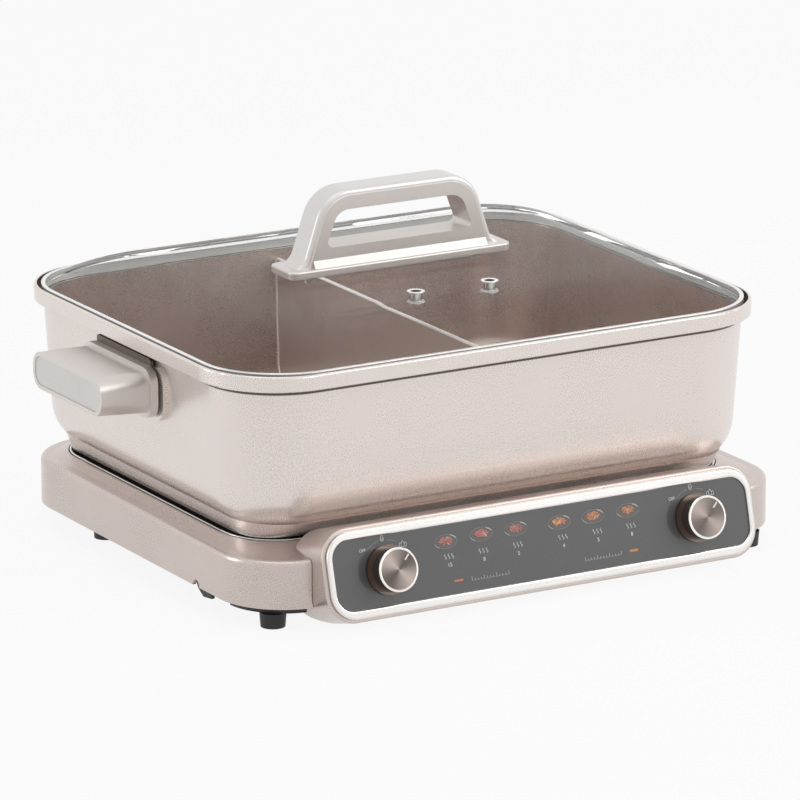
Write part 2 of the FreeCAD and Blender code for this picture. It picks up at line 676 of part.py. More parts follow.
def vent_x(side):
    return "(%d * vent_spacing / 2 - vent_shift)" % side


def steam_vent(side, name):
    """A steel eyelet through the glass with a flange above and a clinch below."""
    vent = body(name)
    x = vent_x(side)
    low = "(%s - glass_thick - 2 * vent_sheet)" % GLASS_TOP
    high = "(%s + vent_proud)" % GLASS_TOP
    turned(vent, low, "%s - %s" % (high, low), "vent_hole - 2 * screw_play", "vent_bore",
           x, "-vent_y")
    turned(vent, low, "vent_sheet", "vent_flange", "vent_bore", x, "-vent_y")
    rim = turned(vent, "%s - vent_sheet" % high, "vent_sheet", "vent_flange", "vent_bore",
                 x, "-vent_y")
    fillet(vent, rim, at_height(high), "vent_sheet / 4")
    return keep(vent, name)


def seal_rings(name, places, z, height, outer, inner):
    """Flat rings of one size, one at each place."""
    group = document.addObject("Part::Compound", name)
    rings = []
    for x, y in places:
        ring = body("ring")
        turned(ring, z, height, outer, inner, x, y)
        rings.append(ring)
    group.Links = rings
    return keep(group, name)


def arch_outline(owner, inset, length, flare=None):
    """The leaning outline of the lid handle, drawn in by inset, through its depth."""
    lean = "((arch_foot - arch_top) / 2 / arch_height)"
    slant = "(%s) * sqrt(1 + %s ^ 2)" % (inset, lean)
    foot = "(arch_foot / 2 - %s)" % slant
    top = "(%s - (arch_height - %s) * %s)" % (foot, inset, lean)
    half = [(foot, PLATE_TOP), (top, "%s - %s" % (ARCH_TOP, inset))]
    if flare:
        half = [("(%s + %s)" % (foot, flare), PLATE_TOP),
                ("(%s - %s * %s)" % (foot, flare, lean), "%s + %s" % (PLATE_TOP, flare)), half[1]]
    mirrored = [("-%s" % x, z) for x, z in reversed(half)]
    sketch = sketch_on(owner, "XZ")
    polygon(sketch, half + mirrored)
    return pad(owner, sketch, length, middle=True)


def across_depth(low, high):
    """A test for straight edges that run front to back between two heights."""
    def test(edge):
        bounds = edge.BoundBox
        upright = bounds.ZLength < 0.01 and bounds.XLength < 0.01 and bounds.YLength > 1
        return upright and value(low) - 0.01 <= bounds.ZMin <= value(high) + 0.01
    return test


def lid_handle_cover():
    """The outer strip of the arch: both legs and the top, as one bent band."""
    cover = body("lid_handle_cover")
    whole = arch_outline(cover, "0", "arch_depth", "arch_flare")
    bend = fillet(cover, whole, across_depth(ARCH_TOP, ARCH_TOP), "arch_rounding")
    flare_top = "%s + arch_flare" % PLATE_TOP
    eased = fillet(cover, bend, across_depth(flare_top, flare_top), "2 * arch_flare")

    def on_outline(edge):
        bounds = edge.BoundBox
        flat = bounds.YLength < 0.01 and abs(abs(bounds.YMin) - value("arch_depth / 2")) < 0.01
        return flat and bounds.ZMax > value(PLATE_TOP) + 0.01

    fillet(cover, eased, on_outline, "cover_rounding")
    inner = body("arch_inside")
    inside = arch_outline(inner, "arch_cover", "2 * arch_depth")
    inside_top = "%s - arch_cover" % ARCH_TOP
    fillet(inner, inside, across_depth(inside_top, inside_top), "arch_rounding - arch_cover")
    return keep(cut("arch_band", cover, inner), "lid_handle_cover")


def lid_handle_core():
    """The base plate and the frame that carries the finger opening."""
    core = body("lid_handle_core")
    frame = arch_outline(core, "arch_cover", "arch_depth + 2 * core_proud")
    inside_top = "%s - arch_cover" % ARCH_TOP
    rounded = fillet(core, frame, across_depth(inside_top, inside_top),
                     "arch_rounding - arch_cover")
    front = "arch_depth / 2 + core_proud"

    def on_face(edge):
        bounds = edge.BoundBox
        on_front = abs(abs(bounds.YMin) - value(front)) < 0.01 and bounds.YLength < 0.01
        return on_front and bounds.ZMax > value(PLATE_TOP) + 0.01

    chamfer(core, rounded, on_face, "core_proud")
    opening = sketch_on(core, "XZ")
    sill = "(%s + finger_sill)" % PLATE_TOP
    polygon(opening, [("-finger_foot / 2", sill), ("finger_foot / 2", sill),
                      ("finger_top / 2", "%s + finger_height" % sill),
                      ("-finger_top / 2", "%s + finger_height" % sill)])
    hole = pocket(core, opening, "2 * arch_depth", middle=True)
    head = "%s + finger_height" % sill
    upper = fillet(core, hole, across_depth(head, head), "finger_rounding")
    fillet(core, upper, across_depth(sill, sill), "finger_rounding / 3")
    spread = "(%s + (plate_width - arch_depth) / 2 - plate_thick / 3)" % front
    apron = sketch_on(core, "YZ")
    polygon(apron, [("-%s" % spread, PLATE_TOP), (spread, PLATE_TOP),
                    (front, "%s + arch_flare" % PLATE_TOP), ("-(%s)" % front,
                                                             "%s + arch_flare" % PLATE_TOP)])
    pad(core, apron, "arch_foot - 4 * arch_cover", middle=True)
    plate = body("lid_handle_plate")
    sketch = sketch_on(plate, "XY", PLATE_FOOT)
    rounded_rectangle(sketch, "plate_length", "plate_width", "plate_corner")
    plain = pad(plate, sketch, "plate_thick")
    fillet(plate, plain, at_height(PLATE_TOP), "plate_thick / 3")
    whole = document.addObject("Part::Fuse", "lid_handle_whole")
    whole.Base = core
    whole.Tool = plate
    bores = body("lid_handle_bores")
    for end in ("-0.5", "0.5"):
        turned(bores, PLATE_FOOT, "lid_screw_grip + 1", "screw + 2 * screw_play",
               x="%s * lid_screw_spacing" % end)
    return keep(cut("lid_handle_bored", whole, bores), "lid_handle_core")


def lid_handle_gasket():
    gasket = body("lid_handle_gasket")
    sketch = sketch_on(gasket, "XY", GLASS_TOP)
    rounded_rectangle(sketch, "plate_length - 2 * gasket", "plate_width - 2 * gasket",
                      "plate_corner - gasket")
    for end in ("-0.5", "0.5"):
        circle(sketch, "screw + 2 * screw_play", "%s * lid_screw_spacing" % end, "0")
    pad(gasket, sketch, "gasket")
    return keep(gasket, "lid_handle_gasket")


def lid_handle_screws():
    """Two screws from under the glass, each head on a washer."""
    group = document.addObject("Part::Compound", "lid_handle_screws")
    screws = []
    for end in ("-0.5", "0.5"):
        screw = body("lid_screw")
        x = "%s * lid_screw_spacing" % end
        head = "(%s - glass_thick - gasket - screw_head_thick)" % GLASS_TOP
        turned(screw, head, "screw_head_thick", "screw_head", x=x)
        turned(screw, head, "%s + lid_screw_grip - %s" % (PLATE_FOOT, head), "screw", x=x)
        screws.append(screw)
    group.Links = screws
    return keep(group, "lid_handle_screws")


lid_band()
lid_seal()
lid_glass()
lid_handle_cover()
lid_handle_core()
lid_handle_gasket()
lid_handle_screws()
steam_vent(-1, "steam_vent_left")
steam_vent(1, "steam_vent_right")
UNDER_GLASS = "(%s - glass_thick)" % GLASS_TOP
seal_rings("lid_handle_washers", [("-lid_screw_spacing / 2", "0"), ("lid_screw_spacing / 2", "0")],
           "%s - gasket" % UNDER_GLASS, "gasket", "screw_head + 4 * gasket",
           "screw + 2 * screw_play")
seal_rings("steam_vent_seals", [(vent_x(-1), "-vent_y"), (vent_x(1), "-vent_y")],
           "%s - vent_sheet" % UNDER_GLASS, "vent_sheet", "vent_flange - vent_sheet", "vent_hole")


# ---- control panel, drawn flat and then leaned back ---------------------------------------

def lean_back(thing):
    """Stand a piece drawn in the panel's plane (z outwards) up at the front of the base."""
    thing.Placement.Rotation = FreeCAD.Rotation(FreeCAD.Vector(1, 0, 0), 90 - value("panel_tilt"))
    bind(thing, "Placement.Base.y", "-panel_y")
    bind(thing, "Placement.Base.z", "panel_z")
    return thing


def panel_plate(owner, margin, rise, corner, low, high):
    """A rounded block in the panel's plane, larger than the glass by margin and rise."""
    sketch = sketch_on(owner, "XY", low)
    rounded_rectangle(sketch, "panel_length + 2 * (%s)" % margin,
                      "panel_height + 2 * (%s)" % rise, corner)
    return pad(owner, sketch, "%s - (%s)" % (high, low))


HOUSING_LONG = "(bezel_side + housing_margin)"
HOUSING_TALL = "(bezel_rise + housing_margin)"
KNOB_PLACES = (("-knob_x", "left"), ("knob_x", "right"))


def housing_block(name, play):
    """The leaning block that the control housing is cut from, grown by play."""
    leaning = lean_back(body(name))
    whole = panel_plate(leaning, "%s + %s" % (HOUSING_LONG, play), "%s + %s" % (HOUSING_TALL, play),
                        "housing_corner + %s" % play, "-panel_y / 2",
                        "-housing_setback + %s" % play)
    return leaning, whole


def housing_profile(name, play):
    """The side view that bounds the housing: a low front, a rising keel and a flat back."""
    limits = body(name)
    sketch = sketch_on(limits, "YZ")
    low = "housing_lowest + %s" % play
    polygon(sketch, [("-2 * panel_y", low),
                     ("-housing_back - housing_keel", low),
                     ("-housing_back - housing_keel / 2", "%s + housing_rise / 4" % low),
                     ("-housing_back - %s" % play, "%s + housing_rise" % low),
                     ("-housing_back - %s" % play, "2 * %s" % DECK),
                     ("-2 * panel_y", "2 * %s" % DECK)])
    pad(limits, sketch, "base_length", middle=True)
    return limits


def control_housing():
    leaning, whole = housing_block("housing_outside", "0")
    document.recompute()
    front = "-housing_setback"
    fillet(leaning, whole, at_height(front), "housing_margin / 2")
    seat = sketch_on(leaning, "XY", front)
    rounded_rectangle(seat, "panel_length + 2 * (bezel_side + seam)",
                      "panel_height + 2 * (bezel_rise + seam)", "bezel_corner + seam")
    pocket(leaning, seat, "panel_glass - housing_setback")
    holes = sketch_on(leaning, "XY", "-panel_glass")
    for x, word in KNOB_PLACES:
        circle(holes, "bushing + 2 * screw_play", x, "0")
    pocket(leaning, holes, "2 * housing_wall")
    lamps = sketch_on(leaning, "XY", "-panel_glass")
    for x in ("-lamp_x", "lamp_x"):
        rounded_rectangle(lamps, "lamp_length + 2 * screw_play", "lamp_height + 2 * screw_play",
                          "lamp_height / 2 + screw_play / 2", x, "-lamp_drop")
    pocket(leaning, lamps, "2 * housing_wall")
    inside = lean_back(body("housing_inside"))
    panel_plate(inside, "%s - housing_wall" % HOUSING_LONG, "%s - housing_wall" % HOUSING_TALL,
                "housing_corner - housing_wall", "-panel_y / 2",
                "-panel_glass - housing_wall")
    limits = housing_profile("housing_limits", "0")
    room = housing_profile("housing_room", "base_wall")
    way = block("housing_way", ("-panel_length / 2 + housing_corner", "-housing_back - 2 * base_wall",
                                "%s + base_wall / 4" % PAN_TOP),
                ("panel_length / 2 - housing_corner", "-housing_back + base_wall",
                 "%s - 2 * base_wall" % DECK))
    hollow = document.addObject("Part::MultiFuse", "housing_hollow")
    hollow.Shapes = [common("housing_cavity", inside, room), way]
    return keep(cut("housing", common("housing_solid", leaning, limits), hollow),
                "control_housing")


def panel_bezel():
    bezel = lean_back(body("panel_bezel"))
    sketch = sketch_on(bezel, "XY", "-panel_glass")
    rounded_rectangle(sketch, "panel_length + 2 * bezel_side", "panel_height + 2 * bezel_rise",
                      "bezel_corner")
    rounded_rectangle(sketch, "panel_length", "panel_height", "panel_corner")
    ring = pad(bezel, sketch, "panel_glass + bezel_proud")
    fillet(bezel, ring, at_height("bezel_proud"), "bezel_proud * 4 / 5")
    return keep(bezel, "panel_bezel", "-panel_y")


def panel_glass():
    glass = lean_back(body("panel_glass"))
    panel_plate(glass, "-seam / 2", "-seam / 2", "panel_corner - seam / 2", "-panel_glass", "0")
    holes = sketch_on(glass, "XY", "0")
    for x, word in KNOB_PLACES:
        circle(holes, "panel_hole", x, "0")
    for x in ("-lamp_x", "lamp_x"):
        rounded_rectangle(holes, "lamp_length + 2 * screw_play", "lamp_height + 2 * screw_play",
                          "lamp_height / 2 + screw_play / 2", x, "-lamp_drop")
    pocket(glass, holes, "2 * panel_glass")
    return keep(glass, "panel_glass", "-panel_y")


def indicator_lamp(x, name):
    """A lens bar that ends flush with the glass, on the lamp behind the panel."""
    lamp = lean_back(body(name))
    sketch = sketch_on(lamp, "XY", "0")
    rounded_rectangle(sketch, "lamp_length", "lamp_height", "lamp_height / 2 - screw_play / 2",
                      x, "-lamp_drop")
    pad(lamp, sketch, "panel_glass + housing_wall + screw_play", reverse=True)
    back = sketch_on(lamp, "XY", "-panel_glass - housing_wall")
    rounded_rectangle(back, "lamp_length + 2 * lamp_height", "3 * lamp_height", "lamp_height / 2",
                      x, "-lamp_drop")
    pad(lamp, back, "lamp_depth - panel_glass - housing_wall", reverse=True)
    return keep(lamp, name, "-panel_y")


def heat_switch(x, name):
    """A rotary switch clamped behind the panel by its threaded bushing."""
    switch = lean_back(body(name))
    face = "(-panel_glass - housing_wall)"
    case = sketch_on(switch, "XY", face)
    rounded_rectangle(case, "switch_width", "switch_width", "switch_width / 10", x)
    pad(switch, case, "switch_depth", reverse=True)
    front = "(-panel_glass + bushing_proud)"
    turned(switch, "%s - housing_wall" % face, "%s - %s + housing_wall" % (front, face),
           "bushing", x=x)
    bore = sketch_on(switch, "XY", front)
    circle(bore, "shaft + 2 * shaft_play", x)
    pocket(switch, bore, "shaft_length - knob_gap")
    tabs = sketch_on(switch, "XY", "%s - switch_depth" % face)
    for offset in ("-1", "0", "1"):
        rounded_rectangle(tabs, "screw_head_thick / 3", "screw_head", "screw_play",
                          "%s + (%s) * switch_width / 4" % (x, offset))
    pad(switch, tabs, "screw_head", reverse=True)
    return keep(switch, name, "-panel_y")


def switch_nut(x, name):
    nut = lean_back(body(name))
    sketch = sketch_on(nut, "XY", "-panel_glass")
    corners = [("%s + nut_width / sqrt(3) * cos(%d)" % (x, turn),
                "nut_width / sqrt(3) * sin(%d)" % turn) for turn in range(0, 360, 60)]
    polygon(sketch, corners)
    circle(sketch, "bushing", x)
    pad(nut, sketch, "nut_thick")
    return keep(nut, name, "-panel_y")


def knob_body(x, name):
    """A turned metal shell with a foot ring, hollow behind, with a hub for the shaft."""
    knob = lean_back(body(name))
    turned(knob, "knob_gap", "knob_ring_height", "knob_ring", x=x)
    shell = turned(knob, "knob_gap", "knob_height", "knob_width", x=x)
    chamfer(knob, shell, at_height(KNOB_TOP), "knob_edge")
    recess = sketch_on(knob, "XY", KNOB_TOP)
    circle(recess, "knob_cap_width", x)
    pocket(knob, recess, "knob_cap_thick")
    behind = sketch_on(knob, "XY", "knob_gap")
    circle(behind, "knob_width - 2 * knob_wall", x)
    pocket(knob, behind, "knob_hollow", reverse=True)
    bore = sketch_on(knob, "XY", "knob_gap")
    circle(bore, "shaft", x)
    pocket(knob, bore, "knob_height * 2 / 3", reverse=True)
    return keep(knob, name, "-panel_y")


def pointer_outline(owner, x, height, play):
    """The bar that marks the knob's setting, turned from straight up."""
    middle = "(knob_pointer_reach - knob_pointer_length / 2)"
    sketch = sketch_on(owner, "XY", height)
    corners = []
    for across, along in ((-1, -1), (1, -1), (1, 1), (-1, 1)):
        side = "(%d * (knob_pointer_width / 2 + %s))" % (across, play)
        out = "(%s + %d * (knob_pointer_length / 2 + %s))" % (middle, along, play)
        corners.append(("%s + %s * sin(knob_pointer_turn) + %s * cos(knob_pointer_turn)"
                        % (x, out, side),
                        "%s * cos(knob_pointer_turn) - %s * sin(knob_pointer_turn)"
                        % (out, side)))
    polygon(sketch, corners)
    return sketch


def knob_cap(x, name):
    cap = lean_back(body(name))
    turned(cap, "%s - knob_cap_thick" % KNOB_TOP, "knob_cap_thick",
           "knob_cap_width - screw_play", x=x)
    slot = pointer_outline(cap, x, KNOB_TOP, "shaft_play")
    pocket(cap, slot, "knob_cap_thick / 2")
    return keep(cap, name, "-panel_y")


def knob_pointer(x, name):
    pointer = lean_back(body(name))
    outline = pointer_outline(pointer, x, "%s - knob_cap_thick / 2" % KNOB_TOP, "0")
    pad(pointer, outline, "knob_cap_thick / 2")
    return keep(pointer, name, "-panel_y")


def knob_shaft(x, name):
    shaft = lean_back(body(name))
    turned(shaft, "knob_gap + knob_height * 2 / 3 - shaft_length", "shaft_length", "shaft", x=x)
    return keep(shaft, name, "-panel_y")


# ---- base -----------------------------------------------------------------------------------

def base_plan(sketch, inset):
    rounded_rectangle(sketch, "base_length - 2 * (%s)" % inset, "base_width - 2 * (%s)" % inset,
                      "base_corner - (%s)" % inset, "0", "-base_offset")


def well_plan(sketch, inset):
    rounded_rectangle(sketch, "well_length - 2 * (%s)" % inset, "well_width - 2 * (%s)" % inset,
                      "well_corner - (%s)" % inset)


FIXINGS = [("%d * fixing_x" % side, y) for side in (-1, 1)
           for y in ("-base_front + base_corner * 4 / 3", "0", "base_back - base_corner * 4 / 3")]


def base_housing():
    shell = body("base_shell")
    outline = sketch_on(shell, "XY", "skirt_clearance")
    base_plan(outline, "0")
    whole = pad(shell, outline, "base_height")
    fillet(shell, whole, at_height(DECK), "base_rounding")
    low = sketch_on(shell, "XY", DECK)
    base_plan(low, "deck_border")
    high = sketch_on(shell, "XY", "%s + deck_rise" % DECK)
    well_plan(high, "-2 * well_gap - well_wall")
    loft(shell, [low, high], ruled=True)
    inside = sketch_on(shell, "XY", "skirt_clearance")
    base_plan(inside, "base_wall")
    pocket(shell, inside, "base_height - base_wall", reverse=True)
    opening = sketch_on(shell, "XY", "%s + 2 * deck_rise" % DECK)
    well_plan(opening, "-well_gap")
    pocket(shell, opening, "base_height")
    bosses = sketch_on(shell, "XY", PAN_TOP)
    for x, y in FIXINGS:
        circle(bosses, "fixing_boss", x, y)
    pad(shell, bosses, "%s - %s - base_wall / 2" % (DECK, PAN_TOP))
    holes = sketch_on(shell, "XY", PAN_TOP)
    for x, y in FIXINGS:
        circle(holes, "fixing_screw + 2 * screw_play", x, y)
    pocket(shell, holes, "3 * screw_grip", reverse=True)
    for side in ("-1", "1"):
        arch = sketch_on(shell, "YZ", "%s * base_length / 2" % side)
        circle(arch, "side_notch", "-side_notch_y", "skirt_clearance")
        pocket(shell, arch, "3 * base_wall", middle=True)
    socket = sketch_on(shell, "XZ", "-base_back")
    rounded_rectangle(socket, "inlet_socket + 2 * (inlet_wall + screw_play)",
                      "inlet_socket_height + 2 * (inlet_wall + screw_play)", "inlet_wall", "0",
                      "inlet_z")
    pocket(shell, socket, "6 * base_wall", middle=True)
    leaning, grown = housing_block("housing_recess", "seam")
    back = block("recess_limits", ("-base_length", "-2 * panel_y", "0"),
                 ("base_length", "-housing_back + seam", "2 * %s" % DECK))
    return keep(cut("base", shell, common("housing_clear", leaning, back)), "base_housing")


def bottom_pan():
    """The black floor of the base: a lower pad in front, posts, and a hook at each side."""
    pan = body("pan_plate")
    plate = sketch_on(pan, "XY", PAN_FOOT)
    base_plan(plate, "pan_inset")
    pad(pan, plate, "pan_thick")
    lip = sketch_on(pan, "XY", PAN_TOP)
    base_plan(lip, "pan_inset")
    base_plan(lip, "pan_inset + pan_thick")
    pad(pan, lip, "pan_lip")
    room = "(inlet_socket / 2 + 2 * inlet_wall)"
    box(pan, ("-%s" % room, "0", PAN_TOP), (room, "base_back", "%s + pan_lip" % PAN_TOP), cut=True)
    for x in ("-post_x", "post_x"):
        for y in ("-post_y", "post_y"):
            turned(pan, PAN_TOP, "%s - well_wall - %s" % (LEDGE_TOP, PAN_TOP), "post_width",
                   x=x, y=y)
    holes = sketch_on(pan, "XY", PAN_FOOT)
    for x, y in FIXINGS:
        circle(holes, "fixing_screw + 2 * screw_play", x, y)
    pocket(pan, holes, "2 * pan_thick", reverse=True)
    for side in ("-1", "1"):
        box(pan, ("%s * (base_length / 2 - base_wall - seam - pan_inset / 2) - pan_inset / 2" % side,
                  "-side_notch_y - side_notch / 3", PAN_FOOT),
            ("%s * (base_length / 2 - base_wall - seam - pan_inset / 2) + pan_inset / 2" % side,
             "-side_notch_y + side_notch / 3", PAN_TOP))
        hook = sketch_on(pan, "YZ", "%s * (base_length / 2 - base_wall - seam)" % side)
        back = "(-side_notch_y + side_notch * 2 / 3)"
        polygon(hook, [(back, "%s + pan_thick" % PAN_TOP),
                       ("%s - hook_length / 4" % back, "%s + pan_thick" % PAN_TOP),
                       ("%s - hook_length / 2" % back, "skirt_clearance - hook_drop / 4"),
                       ("%s - hook_length" % back, "skirt_clearance - hook_drop / 2"),
                       ("%s - hook_length" % back, "skirt_clearance - hook_drop"),
                       ("%s - hook_length / 2" % back, "skirt_clearance - hook_drop * 5 / 4"),
                       ("%s - hook_length / 5" % back, "skirt_clearance - hook_drop / 2")])
        pad(pan, hook, "hook_thick", reverse=side == "1")
    apron = body("pan_apron")
    lower = sketch_on(apron, "XY", PAD_FOOT)
    base_plan(lower, "pad_inset")
    pad(apron, lower, "%s - %s" % (PAN_TOP, PAD_FOOT))
    ends = block("apron_ends", ("-base_length", "-2 * panel_y", "0"),
                 ("base_length", "-pad_back", DECK))
    whole = document.addObject("Part::Fuse", "pan_whole")
    whole.Base = pan
    whole.Tool = common("pan_pad", apron, ends)
    front = block("pan_front", ("-housing_end - seam", "-2 * panel_y", "0"),
                  ("housing_end + seam", "-housing_back + seam", "2 * %s" % PAN_TOP))
    return keep(cut("pan", whole, front), "bottom_pan")


def pan_screws():
    group = document.addObject("Part::Compound", "base_screws")
    screws = []
    for x, y in FIXINGS:
        screw = body("pan_screw")
        turned(screw, "%s - screw_head_thick" % PAN_FOOT, "screw_head_thick",
               "fixing_screw * 2", x=x, y=y)
        turned(screw, PAN_FOOT, "pan_thick + 2 * screw_grip", "fixing_screw", x=x, y=y)
        screws.append(screw)
    group.Links = screws
    return keep(group, "base_screws")


def foot(x, y, height, name):
    rubber = document.addObject("Part::Cone", name)
    bind(rubber, "Radius1", "foot_bottom / 2")
    bind(rubber, "Radius2", "foot_top / 2")
    bind(rubber, "Height", height)
    bind(rubber, "Placement.Base.x", x)
    return keep(rubber, name, y)


HEATER_ENDS = ("heater_pitch * -3 / 2", "heater_pitch * 3 / 2")
HEATER_Z = "(%s - seat_gap - heater_tube / 2)" % POT_BOTTOM


def well_tray():
    """The steel pan in the base: a rim, a ledge that carries the pot, and a sump."""
    tray = body("well_tray")
    upper = sketch_on(tray, "XY", "%s - well_wall" % LEDGE_TOP)
    well_plan(upper, "0")
    wall = pad(tray, upper, "%s - %s + well_wall" % (WELL_TOP, LEDGE_TOP))
    fillet(tray, wall, at_height(WELL_TOP), "well_wall / 3")
    seat = sketch_on(tray, "XY", LEDGE_TOP)
    well_plan(seat, "well_wall")
    pocket(tray, seat, "2 * well_ledge", reverse=True)
    sump = sketch_on(tray, "XY", SUMP_FOOT)
    well_plan(sump, "ledge_width")
    pad(tray, sump, "%s - %s" % (LEDGE_TOP, SUMP_FOOT))
    hollow = sketch_on(tray, "XY", "%s + well_wall" % SUMP_FOOT)
    well_plan(hollow, "ledge_width + well_wall")
    pocket(tray, hollow, "2 * well_depth", reverse=True)
    holes = sketch_on(tray, "XY", SUMP_FOOT)
    for side in ("-1", "1"):
        for end in HEATER_ENDS:
            circle(holes, "heater_tube + 2 * seam", "%s * heater_x + %s" % (side, end),
                   "-heater_length / 2")
    pocket(tray, holes, "2 * well_wall", reverse=True)
    return keep(tray, "well_tray")


def smooth_path(points, radii):
    """Straight runs through the points, joined by tangent arcs of the given radii."""
    edges = []
    start = points[0]
    for number, radius in enumerate(radii, start=1):
        corner = points[number]
        back = (points[number - 1] - corner).normalize()
        ahead = (points[number + 1] - corner).normalize()
        half_turn = (math.pi - back.getAngle(ahead)) / 2
        step = radius * math.tan(half_turn)
        near = corner + back * step
        far = corner + ahead * step
        middle_way = (back + ahead).normalize()
        middle = corner + middle_way * (radius / math.cos(half_turn) - radius)
        edges.append(Part.LineSegment(start, near).toShape())
        edges.append(Part.Arc(near, middle, far).toShape())
        start = far
    edges.append(Part.LineSegment(start, points[-1]).toShape())
    return Part.Wire(edges)


def widest_bend(before, corner, after):
    """The radius of an arc that uses a little under half of the shorter run."""
    back = before - corner
    ahead = after - corner
    half_turn = (math.pi - back.getAngle(ahead)) / 2
    return 0.45 * min(back.Length, ahead.Length) / math.tan(half_turn)


def tube(path, width):
    start = path.Edges[0]
    ring = Part.makeCircle(width / 2, start.valueAt(start.FirstParameter),
                           start.tangentAt(start.FirstParameter))
    return path.makePipeShell([Part.Wire([ring])], True, False)


def heater(side, name):
    """A sheathed element: four runs to and fro, with both ends down through the sump."""
    level = value(HEATER_Z)
    low = value("%s - screw_head" % SUMP_FOOT)
    near = value("-heater_length / 2")
    far = value("heater_length / 2")
    pitch = value("heater_pitch")
    bend = value("heater_pitch / 2 - heater_tube / 4")
    middle = side * value("heater_x")
    columns = [middle + pitch * step for step in (-1.5, -0.5, 0.5, 1.5)]
    points = [FreeCAD.Vector(columns[0], near, low), FreeCAD.Vector(columns[0], near, level)]
    for number in (0, 1, 2):
        turn = far if number % 2 == 0 else near + 2 * pitch
        points.append(FreeCAD.Vector(columns[number], turn, level))
        points.append(FreeCAD.Vector(columns[number + 1], turn, level))
    points.append(FreeCAD.Vector(columns[3], near, level))
    points.append(FreeCAD.Vector(columns[3], near, low))
    end_bend = value("heater_tube * 3 / 2")
    radii = [end_bend] + [bend] * 6 + [end_bend]
    element = document.addObject("Part::Feature", name)
    element.Shape = tube(smooth_path(points, radii), value("heater_tube"))
    return keep(element, name)


def heater_brackets():
    """Plates that stand across the sump under the runs of the heating elements."""
    group = document.addObject("Part::Compound", "heater_brackets")
    plates = []
    for side in (-1, 1):
        for y in ("-heater_length / 4", "heater_length / 4"):
            middle = "%d * heater_x" % side
            plates.append(block("heater_plate", (
                "%s - 2 * heater_pitch" % middle, "%s - well_wall / 2" % y,
                "%s + well_wall" % SUMP_FOOT), (
                "%s + 2 * heater_pitch" % middle, "%s + well_wall / 2" % y,
                "%s - heater_tube / 2" % HEATER_Z)))
    group.Links = plates
    return keep(group, "heater_brackets")


def thermal_cutout(side, name):
    """A disc thermostat clipped to the underside of the sump."""
    disc = document.addObject("Part::Cylinder", name)
    bind(disc, "Radius", "cutout_width / 2")
    bind(disc, "Height", "cutout_height")
    bind(disc, "Placement.Base.x", "%d * heater_x" % side)
    bind(disc, "Placement.Base.z", "%s - cutout_height" % SUMP_FOOT)
    return keep(disc, name)


# ---- power inlet ------------------------------------------------------------------------------

def power_inlet():
    """A flanged socket in the back wall for a separate lead."""
    inlet = body("power_inlet")
    face = sketch_on(inlet, "XZ", "-base_back")
    rounded_rectangle(face, "inlet_flange", "inlet_flange_height", "inlet_wall * 2", "0", "inlet_z")
    pad(inlet, face, "inlet_wall", reverse=True)
    sleeve = sketch_on(inlet, "XZ", "-base_back")
    rounded_rectangle(sleeve, "inlet_socket + 2 * inlet_wall",
                      "inlet_socket_height + 2 * inlet_wall", "inlet_wall", "0", "inlet_z")
    pad(inlet, sleeve, "inlet_depth + inlet_wall")
    mouth = sketch_on(inlet, "XZ", "-base_back - inlet_wall")
    rounded_rectangle(mouth, "inlet_socket", "inlet_socket_height", "inlet_wall", "0", "inlet_z")
    pocket(inlet, mouth, "inlet_depth + inlet_wall", reverse=True)
    return keep(inlet, "power_inlet")


def inlet_pins():
    group = document.addObject("Part::Compound", "inlet_pins")
    blades = []
    for x, z in (("-inlet_pin_spacing / 2", "-inlet_pin / 2"),
                 ("inlet_pin_spacing / 2", "-inlet_pin / 2"), ("0", "inlet_pin / 2")):
        blade = body("blade")
        sketch = sketch_on(blade, "XZ", "-base_back + inlet_depth")
        rounded_rectangle(sketch, "inlet_pin_thick", "inlet_pin", "inlet_pin_thick / 4", x,
                          "inlet_z + %s" % z)
        pad(blade, sketch, "inlet_depth - inlet_wall", reverse=True)
        blades.append(blade)
    group.Links = blades
    return keep(group, "inlet_pins")


def inlet_screws():
    group = document.addObject("Part::Compound", "inlet_screws")
    heads = []
    for side in ("-1", "1"):
        screw = body("inlet_screw")
        x = "%s * (inlet_socket / 2 + inlet_flange / 2 + inlet_wall) / 2" % side
        sketch = sketch_on(screw, "XZ", "-base_back - inlet_wall")
        circle(sketch, "fixing_screw * 5 / 3", x, "inlet_z")
        pad(screw, sketch, "fixing_screw / 2", reverse=True)
        heads.append(screw)
    group.Links = heads
    return keep(group, "inlet_screws")


def terminal_block():
    piece = block("terminal_block", ("-inlet_flange / 2", "post_y - 3 * inlet_wall", PAN_TOP),
                  ("inlet_flange / 2", "post_y + 5 * inlet_wall", "%s + 3 * screw_grip" % PAN_TOP))
    return keep(piece, "terminal_block", "post_y - 3 * inlet_wall")


